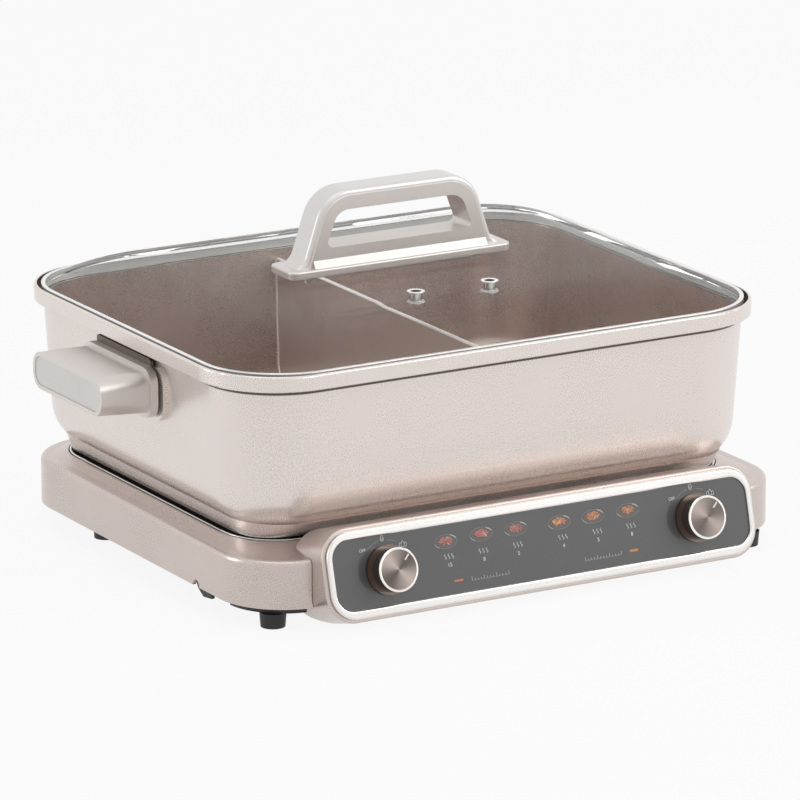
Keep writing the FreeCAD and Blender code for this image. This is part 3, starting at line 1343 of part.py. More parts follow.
def wiring():
    """Insulated leads in the base: inlet to terminals, switches, elements and cut-outs."""
    low = value("%s + wire_lift" % PAN_TOP)
    high = low + value("wire + wire_bend / 2")
    inlet_y = value("base_back - inlet_depth - inlet_wall")
    drop_y = (inlet_y + value("well_width / 2 - ledge_width")) / 2
    block_back = value("post_y + 5 * inlet_wall")
    block_front = value("post_y - 3 * inlet_wall")
    tab_back = value("panel_glass + housing_wall + switch_depth + screw_head + wire / 2")
    tab_y = value("-panel_y + %f * cos(panel_tilt)" % tab_back)
    tab_z = value("panel_z - %f * sin(panel_tilt)" % tab_back)
    heater_y = value("-heater_length / 2")
    heater_foot = value("%s - screw_head" % SUMP_FOOT)
    cutout_foot = value("%s - cutout_height" % SUMP_FOOT)
    turn_y = value("-housing_back + 2 * base_wall")
    paths = []
    for x, z in ((-1, -1), (1, -1), (0, 1)):
        pin_x = x * value("inlet_pin_spacing / 2")
        pin_z = value("inlet_z") + z * value("inlet_pin / 2")
        paths.append([(pin_x, inlet_y, pin_z), (pin_x, drop_y, pin_z), (pin_x, drop_y, high),
                      (pin_x, block_back, high)])
    for side in (-1, 1):
        knob_x = side * value("knob_x")
        outer_tab = knob_x + side * value("switch_width / 4")
        inner_tab = knob_x - side * value("switch_width / 4")
        outer_end = side * value("heater_x + heater_pitch * 3 / 2")
        inner_end = side * value("heater_x - heater_pitch * 3 / 2")
        cutout_outer = side * value("heater_x + cutout_width / 4")
        cutout_inner = side * value("heater_x - cutout_width / 4")
        live_x = side * value("inlet_flange / 6")
        neutral_x = side * value("inlet_flange / 3")
        paths.append([(outer_tab, tab_y, tab_z), (outer_tab, turn_y, low),
                      (outer_end, heater_y, low), (outer_end, heater_y, heater_foot)])
        paths.append([(inner_tab, tab_y, tab_z), (inner_tab, turn_y, high),
                      (live_x, heater_y, high), (live_x, block_front, high)])
        paths.append([(inner_end, heater_y, heater_foot), (inner_end, heater_y, low),
                      (cutout_outer, 0, low), (cutout_outer, 0, cutout_foot)])
        paths.append([(cutout_inner, 0, cutout_foot), (cutout_inner, 0, low),
                      (neutral_x, block_front / 2, low), (neutral_x, block_front, low)])
    group = document.addObject("Part::Compound", "wiring")
    leads = []
    for path in paths:
        points = [FreeCAD.Vector(*point) for point in path]
        radii = [max(value("wire_bend"), widest_bend(*points[n:n + 3]))
                 for n in range(len(points) - 2)]
        lead = document.addObject("Part::Feature", "lead")
        lead.Shape = tube(smooth_path(points, radii), value("wire"))
        leads.append(lead)
    group.Links = leads
    return keep(group, "wiring")


control_housing()
panel_bezel()
panel_glass()
indicator_lamp("-lamp_x", "indicator_lamp_left")
indicator_lamp("lamp_x", "indicator_lamp_right")
for place, word in KNOB_PLACES:
    heat_switch(place, "heat_switch_" + word)
    switch_nut(place, "switch_nut_" + word)
    knob_body(place, "knob_body_" + word)
    knob_cap(place, "knob_cap_" + word)
    knob_pointer(place, "knob_pointer_" + word)
    knob_shaft(place, "knob_shaft_" + word)
base_housing()
bottom_pan()
pan_screws()
for side, word in ((-1, "left"), (1, "right")):
    foot(reach(side, "foot_front_x"), "-foot_front", PAD_FOOT, "foot_front_" + word)
    foot(reach(side, "foot_x"), "foot_back", PAN_FOOT, "foot_back_" + word)
well_tray()
for side, word in ((-1, "left"), (1, "right")):
    heater(side, "heater_" + word)
    thermal_cutout(side, "thermal_cutout_" + word)
heater_brackets()
power_inlet()
inlet_pins()
inlet_screws()
terminal_block()
wiring()


# ---- check and write ----------------------------------------------------------------------

document.recompute()
problems = []
for thing in document.Objects:
    if "Invalid" in thing.State or "Error" in thing.State:
        problems.append("%s could not be computed" % thing.Name)
for name, thing in NODES.items():
    if thing.Shape.isNull() or not thing.Shape.isValid() or not thing.Shape.Solids:
        problems.append("%s has no sound solid" % name)
if problems:
    raise RuntimeError("; ".join(problems))

os.makedirs("parts", exist_ok=True)
for name, thing in NODES.items():
    thing.Shape.exportStep("parts/%s.step" % name)
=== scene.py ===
import math
import random

import bpy
import bmesh
from mathutils import Matrix, Vector


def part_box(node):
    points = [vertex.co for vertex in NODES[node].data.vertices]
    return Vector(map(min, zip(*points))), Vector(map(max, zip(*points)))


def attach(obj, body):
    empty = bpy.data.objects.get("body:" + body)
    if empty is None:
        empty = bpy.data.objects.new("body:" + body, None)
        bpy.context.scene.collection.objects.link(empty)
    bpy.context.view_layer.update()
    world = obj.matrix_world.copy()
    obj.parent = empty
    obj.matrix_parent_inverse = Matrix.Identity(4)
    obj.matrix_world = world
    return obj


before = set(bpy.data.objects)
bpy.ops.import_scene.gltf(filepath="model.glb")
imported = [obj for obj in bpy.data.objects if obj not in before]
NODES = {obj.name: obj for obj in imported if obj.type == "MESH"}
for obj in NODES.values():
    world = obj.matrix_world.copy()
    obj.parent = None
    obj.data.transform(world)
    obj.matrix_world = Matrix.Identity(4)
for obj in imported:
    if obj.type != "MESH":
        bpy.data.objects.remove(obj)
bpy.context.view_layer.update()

# ---- places and tones shared by several materials, in metres ---------------------------

PART_SHIFT = 0.0252156            # how far the frame's middle lies in front of the pot's
POT_MIDDLE = (0.0, PART_SHIFT, 0.0)
POT_HOLLOW = (POT_MIDDLE, 0.0555, 0.1585)    # what facing_in takes: a centre and two heights
LID_SEAT = (POT_MIDDLE, 0.1585, 0.1656)
POT_FOOT_TOP = 0.0504
# Heights of a dark line under the rim: painted shade under the rim's overhang.
RIM_SHADE_BAND = (0.1522, 0.1556)
DIVIDER_EDGE = (0.1511, 0.2)
WELL_FLOOR_TOP = 0.0491

PANEL_TILT = math.radians(15.0)
PANEL_CENTRE = Vector((0.0, -0.2010 + PART_SHIFT, 0.0382))
PANEL_UP = Vector((0.0, math.sin(PANEL_TILT), math.cos(PANEL_TILT)))
PANEL_OUT = Vector((0.0, -math.cos(PANEL_TILT), math.sin(PANEL_TILT)))
KNOB_X = 0.1186
CAP_RADIUS = 0.01365
FAN_ANGLE = 118.0                 # degrees round the cap at which its sheen is brightest
FAN_SHADES = (0.45, 1.3)

CHAMPAGNE = (0.61, 0.53, 0.49)
POT_CHAMPAGNE = (0.79, 0.72, 0.68)
POT_INSIDE = (0.58, 0.482, 0.438)
INSIDE_SHADES = (0.93, 1.07)
# Brown on the lid's seat inside the rim: painted shade in the gap between the lid's band and the
# rim.
SEAT_SHADE = (0.22, 0.18, 0.155)
# Near-black on the pot's foot, below POT_FOOT_TOP: a dark underside coat, and painted shade for the
# gap between the pot and the base.
UNDERSIDE_AND_GAP_SHADE = (0.045, 0.04, 0.036)
# Dark brown under the rim: painted shade under the rim's overhang.
RIM_SHADE = (0.10, 0.075, 0.06)
# Near-white along the divider's top edge: a painted highlight.
DIVIDER_HIGHLIGHT = (0.97, 0.93, 0.90)
# Near-black on the well's floor, below WELL_FLOOR_TOP: painted shade in the gap round the pot's
# foot.
WELL_FLOOR_SHADE = (0.016, 0.015, 0.014)
SPUN = (0.30, 0.255, 0.23)
BRIGHT_EDGE = (0.88, 0.84, 0.80)

# ---- materials -------------------------------------------------------------------------


class Finish:
    """One material, with helpers that add and join its nodes."""

    def __init__(self, name, color, metallic=0.0, roughness=0.5, **sockets):
        self.material = bpy.data.materials.new(name)
        self.material.use_nodes = True
        self.tree = self.material.node_tree
        self.shader = self.tree.nodes["Principled BSDF"]
        self.color = tuple(color) + (1.0,)
        self.shader.inputs["Base Color"].default_value = self.color
        self.shader.inputs["Metallic"].default_value = metallic
        self.shader.inputs["Roughness"].default_value = roughness
        for socket, value in sockets.items():
            self.shader.inputs[socket.replace("_", " ")].default_value = value
        self.place = self.tree.nodes.new("ShaderNodeTexCoord").outputs["Object"]

    def add(self, kind, settings=None, inputs=None):
        """A shader node with its settings, and its inputs linked or set."""
        node = self.tree.nodes.new("ShaderNode" + kind)
        for key, value in (settings or {}).items():
            setattr(node, key, value)
        for key, value in (inputs or {}).items():
            if isinstance(value, bpy.types.NodeSocket):
                self.tree.links.new(value, node.inputs[key])
            else:
                node.inputs[key].default_value = value
        return node

    def noise(self, scale, detail=2.0, stretch=(1.0, 1.0, 1.0), roughness=0.5):
        """Noise from 0 to 1 with about `scale` lumps in a metre."""
        mapped = self.add("Mapping", inputs={"Vector": self.place, "Scale": stretch})
        node = self.add("TexNoise", inputs={"Vector": mapped.outputs[0], "Scale": scale,
                                            "Detail": detail, "Roughness": roughness})
        return node.outputs["Fac"]

    def spread(self, source, low, high, start=0.3, end=0.7):
        """The source's range from start to end, stretched to run from low to high."""
        node = self.add("MapRange", inputs={"Value": source, "From Min": start, "From Max": end,
                                            "To Min": low, "To Max": high})
        return node.outputs[0]

    def math(self, operation, first, second=0.0):
        return self.add("Math", {"operation": operation}, {0: first, 1: second}).outputs[0]

    def tint(self, source, dark, light):
        """The base colour, from dark to light times the written colour."""
        mix = self.add("Mix", {"data_type": "RGBA"}, {"Factor": source})
        mix.inputs["A"].default_value = tuple(c * dark for c in self.color[:3]) + (1.0,)
        mix.inputs["B"].default_value = tuple(c * light for c in self.color[:3]) + (1.0,)
        self.tree.links.new(mix.outputs["Result"], self.shader.inputs["Base Color"])
        return mix.outputs["Result"]

    def band(self, low, high, soft=0.0002):
        """1 between two heights of the piece at rest, 0 above and below, in metres."""
        height = self.add("SeparateXYZ", inputs={0: self.place}).outputs["Z"]
        above = self.add("MapRange", inputs={"Value": height, "From Min": low - soft,
                                             "From Max": low + soft}).outputs[0]
        under = self.add("MapRange", inputs={"Value": height, "From Min": high + soft,
                                             "From Max": high - soft}).outputs[0]
        return self.math("MULTIPLY", above, under)

    def facing_in(self, centre, floor, top):
        """1 on walls that face a centre, and on floors that face up, between two heights."""
        normal = self.add("NewGeometry").outputs["Normal"]
        offset = self.add("VectorMath", {"operation": "SUBTRACT"}, {0: centre, 1: self.place})
        level = self.add("VectorMath", {"operation": "MULTIPLY"},
                         {0: offset.outputs[0], 1: (1.0, 1.0, 0.0)}).outputs[0]
        toward = self.add("VectorMath", {"operation": "DOT_PRODUCT"}, {0: normal, 1: level})
        wall = self.math("MULTIPLY", self.spread(toward.outputs["Value"], 0.0, 1.0, 0.01, 0.03),
                         self.band(floor, top))
        upward = self.add("SeparateXYZ", inputs={0: normal}).outputs["Z"]
        ground = self.math("MULTIPLY", self.spread(upward, 0.0, 1.0, 0.4, 0.6),
                           self.band(floor, (floor + top) / 2))
        return self.math("MAXIMUM", wall, ground)

    def over(self, base, part, color):
        """The base colour with another laid over a part of it."""
        mix = self.add("Mix", {"data_type": "RGBA"}, {"Factor": part, "A": base})
        mix.inputs["B"].default_value = tuple(color) + (1.0,)
        self.tree.links.new(mix.outputs["Result"], self.shader.inputs["Base Color"])
        return mix.outputs["Result"]

    def rough(self, source):
        self.tree.links.new(source, self.shader.inputs["Roughness"])

    def bump(self, source, height, strength=1.0):
        node = self.add("Bump", inputs={"Height": source, "Distance": height, "Strength": strength})
        self.tree.links.new(node.outputs[0], self.shader.inputs["Normal"])

    def sum(self, *sources):
        total = sources[0]
        for source in sources[1:]:
            total = self.math("ADD", total, source)
        return total


def metallic_paint(name, color, roughness, grain=1.0, metallic=0.72, bands=(), inside=None,
                   flake=2300):
    """Satin lacquer over fine metal flakes, about `flake` of them in a metre.

    Each band is two heights and the colour between them. A pot's paint also has a colour
    inside, and brown painted shade on the seat for the lid.
    """
    finish = Finish(name, color, metallic, roughness, Coat_Weight=0.25, Coat_Roughness=0.25,
                    Coat_IOR=1.45)
    flakes = finish.noise(flake, 1.0)
    clouds = finish.noise(22, 3.0)
    shade = finish.sum(finish.spread(flakes, 0.0, 0.7), finish.spread(clouds, 0.0, 0.3))
    painted = finish.tint(shade, 1.0 - 0.08 * grain, 1.0 + 0.10 * grain)
    for low, high, other in bands:
        painted = finish.over(painted, finish.band(low, high), other)
    if inside:
        coat = finish.add("Mix", {"data_type": "RGBA"}, {"Factor": shade})
        for socket, share in zip("AB", INSIDE_SHADES):
            coat.inputs[socket].default_value = tuple(c * share for c in inside) + (1.0,)
        mix = finish.add("Mix", {"data_type": "RGBA"}, {
            "Factor": finish.facing_in(*POT_HOLLOW), "A": painted, "B": coat.outputs["Result"]})
        finish.over(mix.outputs["Result"], finish.facing_in(*LID_SEAT), SEAT_SHADE)
    finish.rough(finish.sum(finish.spread(flakes, -0.02, 0.02), finish.spread(
        clouds, roughness - 0.02, roughness + 0.02)))
    finish.bump(flakes, 0.000003 * grain, 0.5)
    return finish.material


def brushed(name, color, roughness, along="x"):
    """Sheet metal with fine lines along one axis and faint smudges."""
    finish = Finish(name, color, 1.0, roughness)
    stretch = {"x": (0.02, 1.0, 1.0), "y": (1.0, 0.02, 1.0), "z": (1.0, 1.0, 0.02)}[along]
    lines = finish.noise(1800, 2.0, stretch)
    smudge = finish.noise(35, 3.0)
    finish.tint(lines, 0.9, 1.08)
    finish.rough(finish.sum(finish.spread(lines, -0.06, 0.06),
                            finish.spread(smudge, roughness - 0.04, roughness + 0.06)))
    finish.bump(lines, 0.00001, 0.6)
    return finish.material


def moulded(name, color, roughness, grain=0.3):
    """Moulded plastic or rubber: a fine grain and slow changes of shade and gloss."""
    finish = Finish(name, color, 0.0, roughness)
    pores = finish.noise(900, 3.0)
    clouds = finish.noise(30, 2.0)
    finish.tint(finish.sum(finish.spread(pores, 0.0, 0.5), finish.spread(clouds, 0.0, 0.5)),
                1.0 - 0.2 * grain, 1.0 + 0.2 * grain)
    finish.rough(finish.sum(finish.spread(pores, -0.04, 0.04),
                            finish.spread(clouds, roughness - 0.03, roughness + 0.03)))
    finish.bump(pores, 0.00004 * grain, 0.5)
    return finish.material


champagne = metallic_paint("champagne_paint", CHAMPAGNE, 0.29, grain=1.0, flake=2000)
# The pot's bands: painted shade on its foot and under its rim; inside, brown painted shade on the
# lid's seat.
pot_coat = metallic_paint("pot_coat", POT_CHAMPAGNE, 0.28, grain=0.4, bands=(
    (0.0, POT_FOOT_TOP, UNDERSIDE_AND_GAP_SHADE), (*RIM_SHADE_BAND, RIM_SHADE)), inside=POT_INSIDE)
# The divider's coat, with a painted highlight along its top edge.
divider_edge = metallic_paint("divider_coat", POT_INSIDE, 0.3, grain=0.4, metallic=0.4, bands=(
    (*DIVIDER_EDGE, DIVIDER_HIGHLIGHT),))
pearl = metallic_paint("pearl_plastic", (0.74, 0.69, 0.655), 0.36, grain=0.4, metallic=0.55)
cover_paint = metallic_paint("cover_paint", (0.78, 0.745, 0.725), 0.34, grain=0.4, metallic=0.5)
insert = moulded("grey_insert", (0.82, 0.80, 0.765), 0.42, grain=0.25)
# The handle brackets' dark bronze is painted shadow: it stands for the shade in the slot under the
# rim.
bracket_bronze = metallic_paint("bracket_bronze", (0.13, 0.095, 0.078), 0.4, grain=0.6)
band_steel = metallic_paint("band_steel", (0.93, 0.92, 0.91), 0.22, grain=0.2, metallic=0.5)
black = moulded("black_plastic", (0.014, 0.014, 0.015), 0.42)
screw_steel = brushed("steel_screw", (0.62, 0.62, 0.62), 0.28)
bezel_metal = metallic_paint("bezel_metal", (0.80, 0.77, 0.745), 0.2, grain=0.06, metallic=0.95)
rubber = moulded("foot_rubber", (0.012, 0.012, 0.013), 0.5)
well_steel = brushed("well_steel", (0.42, 0.41, 0.40), 0.3)
# The well's enamel, with painted shade on its floor.
well_enamel = metallic_paint("well_enamel", (0.80, 0.79, 0.78), 0.2, grain=0.3, bands=(
    (0.0, WELL_FLOOR_TOP, WELL_FLOOR_SHADE),))
sheath = brushed("heater_sheath", (0.11, 0.11, 0.115), 0.4, "y")
contact = brushed("inlet_contact", (0.78, 0.62, 0.36), 0.25, "y")
lead = moulded("wire_cover", (0.45, 0.06, 0.05), 0.45)
white_mark = moulded("white_mark", (0.92, 0.90, 0.87), 0.35, grain=0.1)


def polished(name, color, roughness):
    """Bright metal with faint wipe marks."""
    finish = Finish(name, color, 1.0, roughness)
    marks = finish.noise(160, 4.0)
    finish.tint(marks, 0.95, 1.03)
    finish.rough(finish.spread(marks, roughness * 0.7, roughness * 1.3))
    return finish.material


bright_steel = polished("bright_steel", (0.88, 0.87, 0.86), 0.16)
shaft_metal = polished("shaft_metal", (0.6, 0.6, 0.6), 0.2)


def panel_glass():
    """Dark grey enamel seen through a clear, glossy sheet."""
    finish = Finish("grey_glass", (0.08, 0.08, 0.081), 0.0, 0.4, Coat_Weight=1.0,
                    Coat_Roughness=0.02, Coat_IOR=1.5)
    clouds = finish.noise(12, 2.0)
    finish.tint(clouds, 0.95, 1.05)
    finish.rough(finish.spread(finish.noise(90, 3.0), 0.3, 0.38))
    return finish.material


def lid_glass():
    """Clear tempered glass with a few faint wipe marks.

    It bends rays by hardly anything, so that the divider's line doesn't kink under its curved
    edge, and a thin coat gives the shine that this takes away.
    """
    finish = Finish("clear_glass", (0.985, 0.99, 0.985), 0.0, 0.0, Transmission_Weight=1.0,
                    IOR=1.01, Coat_Weight=0.15, Coat_Roughness=0.01, Coat_IOR=1.45)
    marks = finish.noise(18, 4.0)
    finish.tint(marks, 0.985, 1.01)
    finish.rough(finish.spread(marks, 0.0, 0.015, 0.45, 0.8))
    path = finish.add("LightPath")
    unbent = finish.math("MAXIMUM", path.outputs["Is Shadow Ray"], path.outputs["Is Diffuse Ray"])
    clear = finish.add("BsdfTransparent")
    clear.inputs["Color"].default_value = (0.96, 0.97, 0.965, 1.0)
    mix = finish.add("MixShader", inputs={0: unbent})
    finish.tree.links.new(finish.shader.outputs[0], mix.inputs[1])
    finish.tree.links.new(clear.outputs[0], mix.inputs[2])
    output = finish.tree.nodes["Material Output"]
    finish.tree.links.new(mix.outputs[0], output.inputs["Surface"])
    return finish.material


def clear_silicone():
    """Milky clear rubber that lets a little light into it."""
    finish = Finish("seal_rubber", (0.74, 0.73, 0.72), 0.0, 0.35, Subsurface_Weight=0.3,
                    Subsurface_Radius=(0.002, 0.002, 0.002))
    clouds = finish.noise(60, 2.0)
    finish.tint(clouds, 0.9, 1.08)
    finish.rough(finish.spread(clouds, 0.3, 0.42))
    return finish.material


def lens(name, color):
    """A tinted lamp window, not lit."""
    finish = Finish(name, color, 0.0, 0.3, Coat_Weight=0.5, Coat_Roughness=0.1)
    grain = finish.noise(600, 2.0)
    finish.tint(grain, 0.88, 1.1)
    finish.rough(finish.spread(grain, 0.25, 0.38))
    return finish.material


def spun(name, x, color):
    """Fine turned rings about the knob's axis, with a painted fan-shaped sheen and bright rim."""
    finish = Finish(name, color, 1.0, 0.3, Anisotropic=0.9)
    centre = PANEL_CENTRE + Vector((x, 0.0, 0.0))
    offset = finish.add("VectorMath", {"operation": "SUBTRACT"},
                        {0: finish.place, 1: centre}).outputs[0]
    around = finish.add("VectorMath", {"operation": "CROSS_PRODUCT"},
                        {0: PANEL_OUT, 1: offset}).outputs[0]
    radius = finish.add("VectorMath", {"operation": "LENGTH"}, {0: around}).outputs["Value"]
    rings = finish.add("TexNoise", {"noise_dimensions": "1D"},
                       {"W": radius, "Scale": 5200.0, "Detail": 2.0}).outputs["Fac"]
    turned = finish.tint(rings, 0.86, 1.1)
    edge = finish.spread(radius, 0.0, 1.0, CAP_RADIUS - 0.0006, CAP_RADIUS - 0.0004)
    side_on, up_on = (finish.add("VectorMath", {"operation": "DOT_PRODUCT"},
                                 {0: offset, 1: axis}).outputs["Value"]
                      for axis in (Vector((1.0, 0.0, 0.0)), PANEL_UP))
    turn = finish.math("MULTIPLY_ADD", finish.math("ARCTAN2", up_on, side_on), 2.0)
    turn.node.inputs[2].default_value = -2.0 * math.radians(FAN_ANGLE)
    fan = finish.spread(finish.math("COSINE", turn), 0.0, 1.0, -0.9, 1.0)
    sheen = finish.add("Mix", {"data_type": "RGBA", "blend_type": "MULTIPLY"},
                       {"Factor": 1.0, "A": turned})
    tone = finish.add("ValToRGB", inputs={0: fan})
    for stop, shade in zip(tone.color_ramp.elements, FAN_SHADES):
        stop.color = (shade, shade, shade, 1.0)
    finish.tree.links.new(tone.outputs[0], sheen.inputs["B"])
    finish.over(sheen.outputs["Result"], edge, BRIGHT_EDGE)
    finish.rough(finish.spread(rings, 0.24, 0.36))
    finish.bump(rings, 0.000008, 0.5)
    finish.tree.links.new(around, finish.shader.inputs["Tangent"])
    return finish.material


def knob_metal():
    """Dark polished bronze with a bright machined edge round its front."""
    finish = Finish("knob_metal", (0.21, 0.165, 0.14), 1.0, 0.16)
    marks = finish.noise(160, 4.0)
    polish = finish.tint(marks, 0.95, 1.03)
    out = finish.add("VectorMath", {"operation": "DOT_PRODUCT"},
                     {0: finish.place, 1: PANEL_OUT}).outputs["Value"]
    front = max(vertex.co.dot(PANEL_OUT) for vertex in NODES["knob_body_left"].data.vertices)
    finish.over(polish, finish.spread(out, 0.0, 1.0, front - 0.0005, front - 0.0003), BRIGHT_EDGE)
    finish.rough(finish.spread(marks, 0.11, 0.2))
    return finish.material


knob_side = knob_metal()
MATERIALS = {
    "base_housing": champagne, "control_housing": champagne, "pot_body": pot_coat,
    "pot_divider": divider_edge,
    "lid_handle_cover": cover_paint, "lid_handle_core": pearl, "lid_band": band_steel,
    "lid_glass": lid_glass(), "panel_glass": panel_glass(), "panel_bezel": bezel_metal,
    "bottom_pan": black, "power_inlet": black, "terminal_block": black,
    "well_tray": well_enamel, "heater_brackets": well_steel, "inlet_pins": contact,
    "wiring": lead, "base_screws": screw_steel, "inlet_screws": screw_steel,
    "lid_handle_screws": screw_steel,
    "indicator_lamp_left": lens("amber_lens_left", (0.60, 0.20, 0.13)),
    "indicator_lamp_right": lens("amber_lens_right", (0.66, 0.27, 0.09)),
}
silicone = clear_silicone()
for name in ("lid_seal", "lid_handle_gasket", "lid_handle_washers", "steam_vent_seals"):
    MATERIALS[name] = silicone
for word, side in (("left", -1), ("right", 1)):
    for name, material in (
            ("pot_handle_", pearl), ("handle_cap_", insert), ("handle_bracket_", bracket_bronze),
            ("handle_screws_", screw_steel), ("foot_front_", rubber), ("foot_back_", rubber),
            ("heat_switch_", black), ("switch_nut_", screw_steel), ("thermal_cutout_", sheath),
            ("heater_", sheath), ("steam_vent_", bright_steel), ("knob_body_", knob_side),
            ("knob_pointer_", white_mark), ("knob_shaft_", shaft_metal)):
        MATERIALS[name + word] = material
    MATERIALS["knob_cap_" + word] = spun("spun_metal_" + word, side * KNOB_X, SPUN)

for name, node in NODES.items():
    node.data.materials.clear()
    node.data.materials.append(MATERIALS[name])

# ---- the fillets where the divider meets the pot ----------------------------------------


FILLET_RADIUS = 0.0009
FILLET_ENDS = (0.0620, 0.1520)    # heights between which the corner's points are taken,
FILLET_OUT, FILLET_FAR = 0.001, 0.1    # and how far out they lie along X and along Y


def divider_fillets():
    """A round bead down each of the four corners between the divider and the walls.

    The corners' places are read from the divider's own mesh.
    """
    wall = NODES["pot_divider"].data
    curve = bpy.data.curves.new("divider_fillets", "CURVE")
    curve.dimensions = "3D"
    curve.bevel_depth = FILLET_RADIUS
    curve.bevel_resolution = 3
    curve.use_fill_caps = True
    middle = sum(corner[1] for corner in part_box("pot_divider")) / 2
    for end in (-1, 1):
        for side in (-1, 1):
            corner = sorted({tuple(round(value, 5) for value in vertex.co)
                             for vertex in wall.vertices
                             if side * vertex.co.x > FILLET_OUT
                             and end * (vertex.co.y - middle) > FILLET_FAR
                             and FILLET_ENDS[0] < vertex.co.z < FILLET_ENDS[1]},
                            key=lambda point: point[2])
            line = curve.splines.new("POLY")
            line.points.add(len(corner) - 1)
            for point, place in zip(line.points, corner):
                point.co = place + (1.0,)
    piece = bpy.data.objects.new("divider_fillets", curve)
    curve.materials.append(fillet_coat)
    bpy.context.scene.collection.objects.link(piece)
    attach(piece, "pot")


# The fillets are paler than the pot's inside: a painted highlight down each corner.
fillet_coat = metallic_paint("fillet_coat", (0.95, 0.90, 0.87), 0.3, grain=0.4)
divider_fillets()

# ---- printed marks on the panel ----------------------------------------------------------

PRINT_LIFT = 0.00003
PRINT_THICK = 0.00005
DIAL_RADIUS, DIAL_RADIUS_RIGHT = 20.1, 19.4    # millimetres, as is every place on the panel
FLAME = [(0.0, 2.1), (0.75, 1.0), (1.15, -0.1), (1.05, -1.3), (0.55, -2.0), (-0.55, -2.0),
         (-1.05, -1.3), (-1.15, -0.1), (-0.75, 1.0)]
PLATE_U, PLATE_V = 8.8, 4.6
FOOD_U, FOOD_V = 5.0, 2.6
FOOD_RINGS = ((0.82, 10), (0.45, 7), (0.0, 2))    # share of the plate's food radius, and pieces
STEAM_GAP, STEAM_HEIGHT, STEAM_SWAY, STEAM_STEPS = 2.7, 3.4, 0.55, 12
SCALE_STEPS, SCALE_DROP = 12, 1.3
CAP_HEIGHT_TO_SIZE = 1.38         # a figure's height to the font size that gives it
FIGURE_WEIGHT = 0.035             # how much its strokes are thickened


def on_panel(u, v, lift=PRINT_LIFT):
    """A point of the panel, from millimetres right of and above its middle."""
    return (PANEL_CENTRE + Vector((u / 1000.0, 0.0, 0.0)) + PANEL_UP * (v / 1000.0)
            + PANEL_OUT * lift)


def print_material(name, color):
    finish = Finish(name, color, 0.0, 0.35, Coat_Weight=0.6, Coat_Roughness=0.05)
    screen = finish.noise(2600, 2.0)
    finish.tint(screen, 0.9, 1.06)
    finish.rough(finish.spread(screen, 0.3, 0.42))
    return finish.material


PRINT_WHITE = print_material("print_white", (0.78, 0.78, 0.77))
PRINT_GREY = print_material("print_grey", (0.40, 0.40, 0.40))
PLATE_DARK = print_material("print_plate", (0.115, 0.11, 0.108))
PLATE_RIM = print_material("print_plate_rim", (0.24, 0.23, 0.22))
PLATE_SHINE = print_material("print_plate_shine", (0.62, 0.60, 0.58))
FOOD = {
    "rose": ((0.50, 0.16, 0.13), (0.36, 0.10, 0.09), (0.68, 0.38, 0.33)),
    "meat": ((0.55, 0.13, 0.12), (0.38, 0.07, 0.07), (0.74, 0.45, 0.42)),
    "amber": ((0.58, 0.22, 0.08), (0.38, 0.11, 0.05), (0.76, 0.46, 0.26)),
}
FOOD_PRINTS = {key: [print_material("print_%s_%d" % (key, n), color)
                     for n, color in enumerate(colors)] for key, colors in FOOD.items()}


class Print:
    """Flat printed shapes that share one mesh, a film's thickness proud of the glass."""

    def __init__(self, name, *materials):
        self.mesh = bmesh.new()
        self.object = bpy.data.objects.new(name, bpy.data.meshes.new(name))
        for material in materials:
            self.object.data.materials.append(material)

    def outline(self, points, material=0, layer=0):
        """A filled closed outline of (u, v) points in millimetres."""
        lift = PRINT_LIFT + layer * PRINT_THICK
        top = [self.mesh.verts.new(on_panel(u, v, lift + PRINT_THICK)) for u, v in points]
        low = [self.mesh.verts.new(on_panel(u, v, lift)) for u, v in points]
        faces = [self.mesh.faces.new(top), self.mesh.faces.new(list(reversed(low)))]
        for n in range(len(points)):
            after = (n + 1) % len(points)
            faces.append(self.mesh.faces.new((low[n], low[after], top[after], top[n])))
        for face in faces:
            face.material_index = material

    def stroke(self, points, width, material=0, layer=0, closed=False):
        """A line of even width along (u, v) points, as joined quads."""
        lift = PRINT_LIFT + layer * PRINT_THICK
        count = len(points)
        rails = []
        for n, point in enumerate(points):
            before = points[n - 1] if closed or n else point
            after = points[(n + 1) % count] if closed or n < count - 1 else point
            along = Vector((after[0] - before[0], after[1] - before[1])).normalized()
            across = Vector((-along.y, along.x)) * (width / 2)
            rail = []
            for sign in (1, -1):
                u, v = point[0] + sign * across.x, point[1] + sign * across.y
                rail.append((self.mesh.verts.new(on_panel(u, v, lift)),
                             self.mesh.verts.new(on_panel(u, v, lift + PRINT_THICK))))
            rails.append(rail)
        spans = count if closed else count - 1
        for n in range(spans):
            (left_low, left_top), (right_low, right_top) = rails[n]
            following = rails[(n + 1) % count]
            (next_left_low, next_left_top), (next_right_low, next_right_top) = following
            for corners in ((left_top, right_top, next_right_top, next_left_top),
                            (left_low, next_left_low, next_right_low, right_low),
                            (left_low, left_top, next_left_top, next_left_low),
                            (right_low, next_right_low, next_right_top, right_top)):
                self.mesh.faces.new(corners).material_index = material
        if not closed:
            for rail in (rails[0], rails[-1]):
                (left_low, left_top), (right_low, right_top) = rail
                face = self.mesh.faces.new((left_low, left_top, right_top, right_low))
                face.material_index = material

    def finish(self, body="base", slot="white_mark"):
        bmesh.ops.recalc_face_normals(self.mesh, faces=self.mesh.faces)
        self.mesh.to_mesh(self.object.data)
        self.mesh.free()
        bpy.context.scene.collection.objects.link(self.object)
        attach(self.object, body)
        return self.object


def arc(u, v, radius_u, radius_v, start, end, count=24):
    """Points of an elliptic arc between two angles in degrees."""
    turns = [math.radians(start + (end - start) * n / (count - 1)) for n in range(count)]
    return [(u + radius_u * math.cos(turn), v + radius_v * math.sin(turn)) for turn in turns]


def ellipse(u, v, radius_u, radius_v, count=28, turn=0.0):
    points = arc(0.0, 0.0, radius_u, radius_v, 0.0, 360.0 * (count - 1) / count, count)
    c, s = math.cos(turn), math.sin(turn)
    return [(u + x * c - y * s, v + x * s + y * c) for x, y in points]


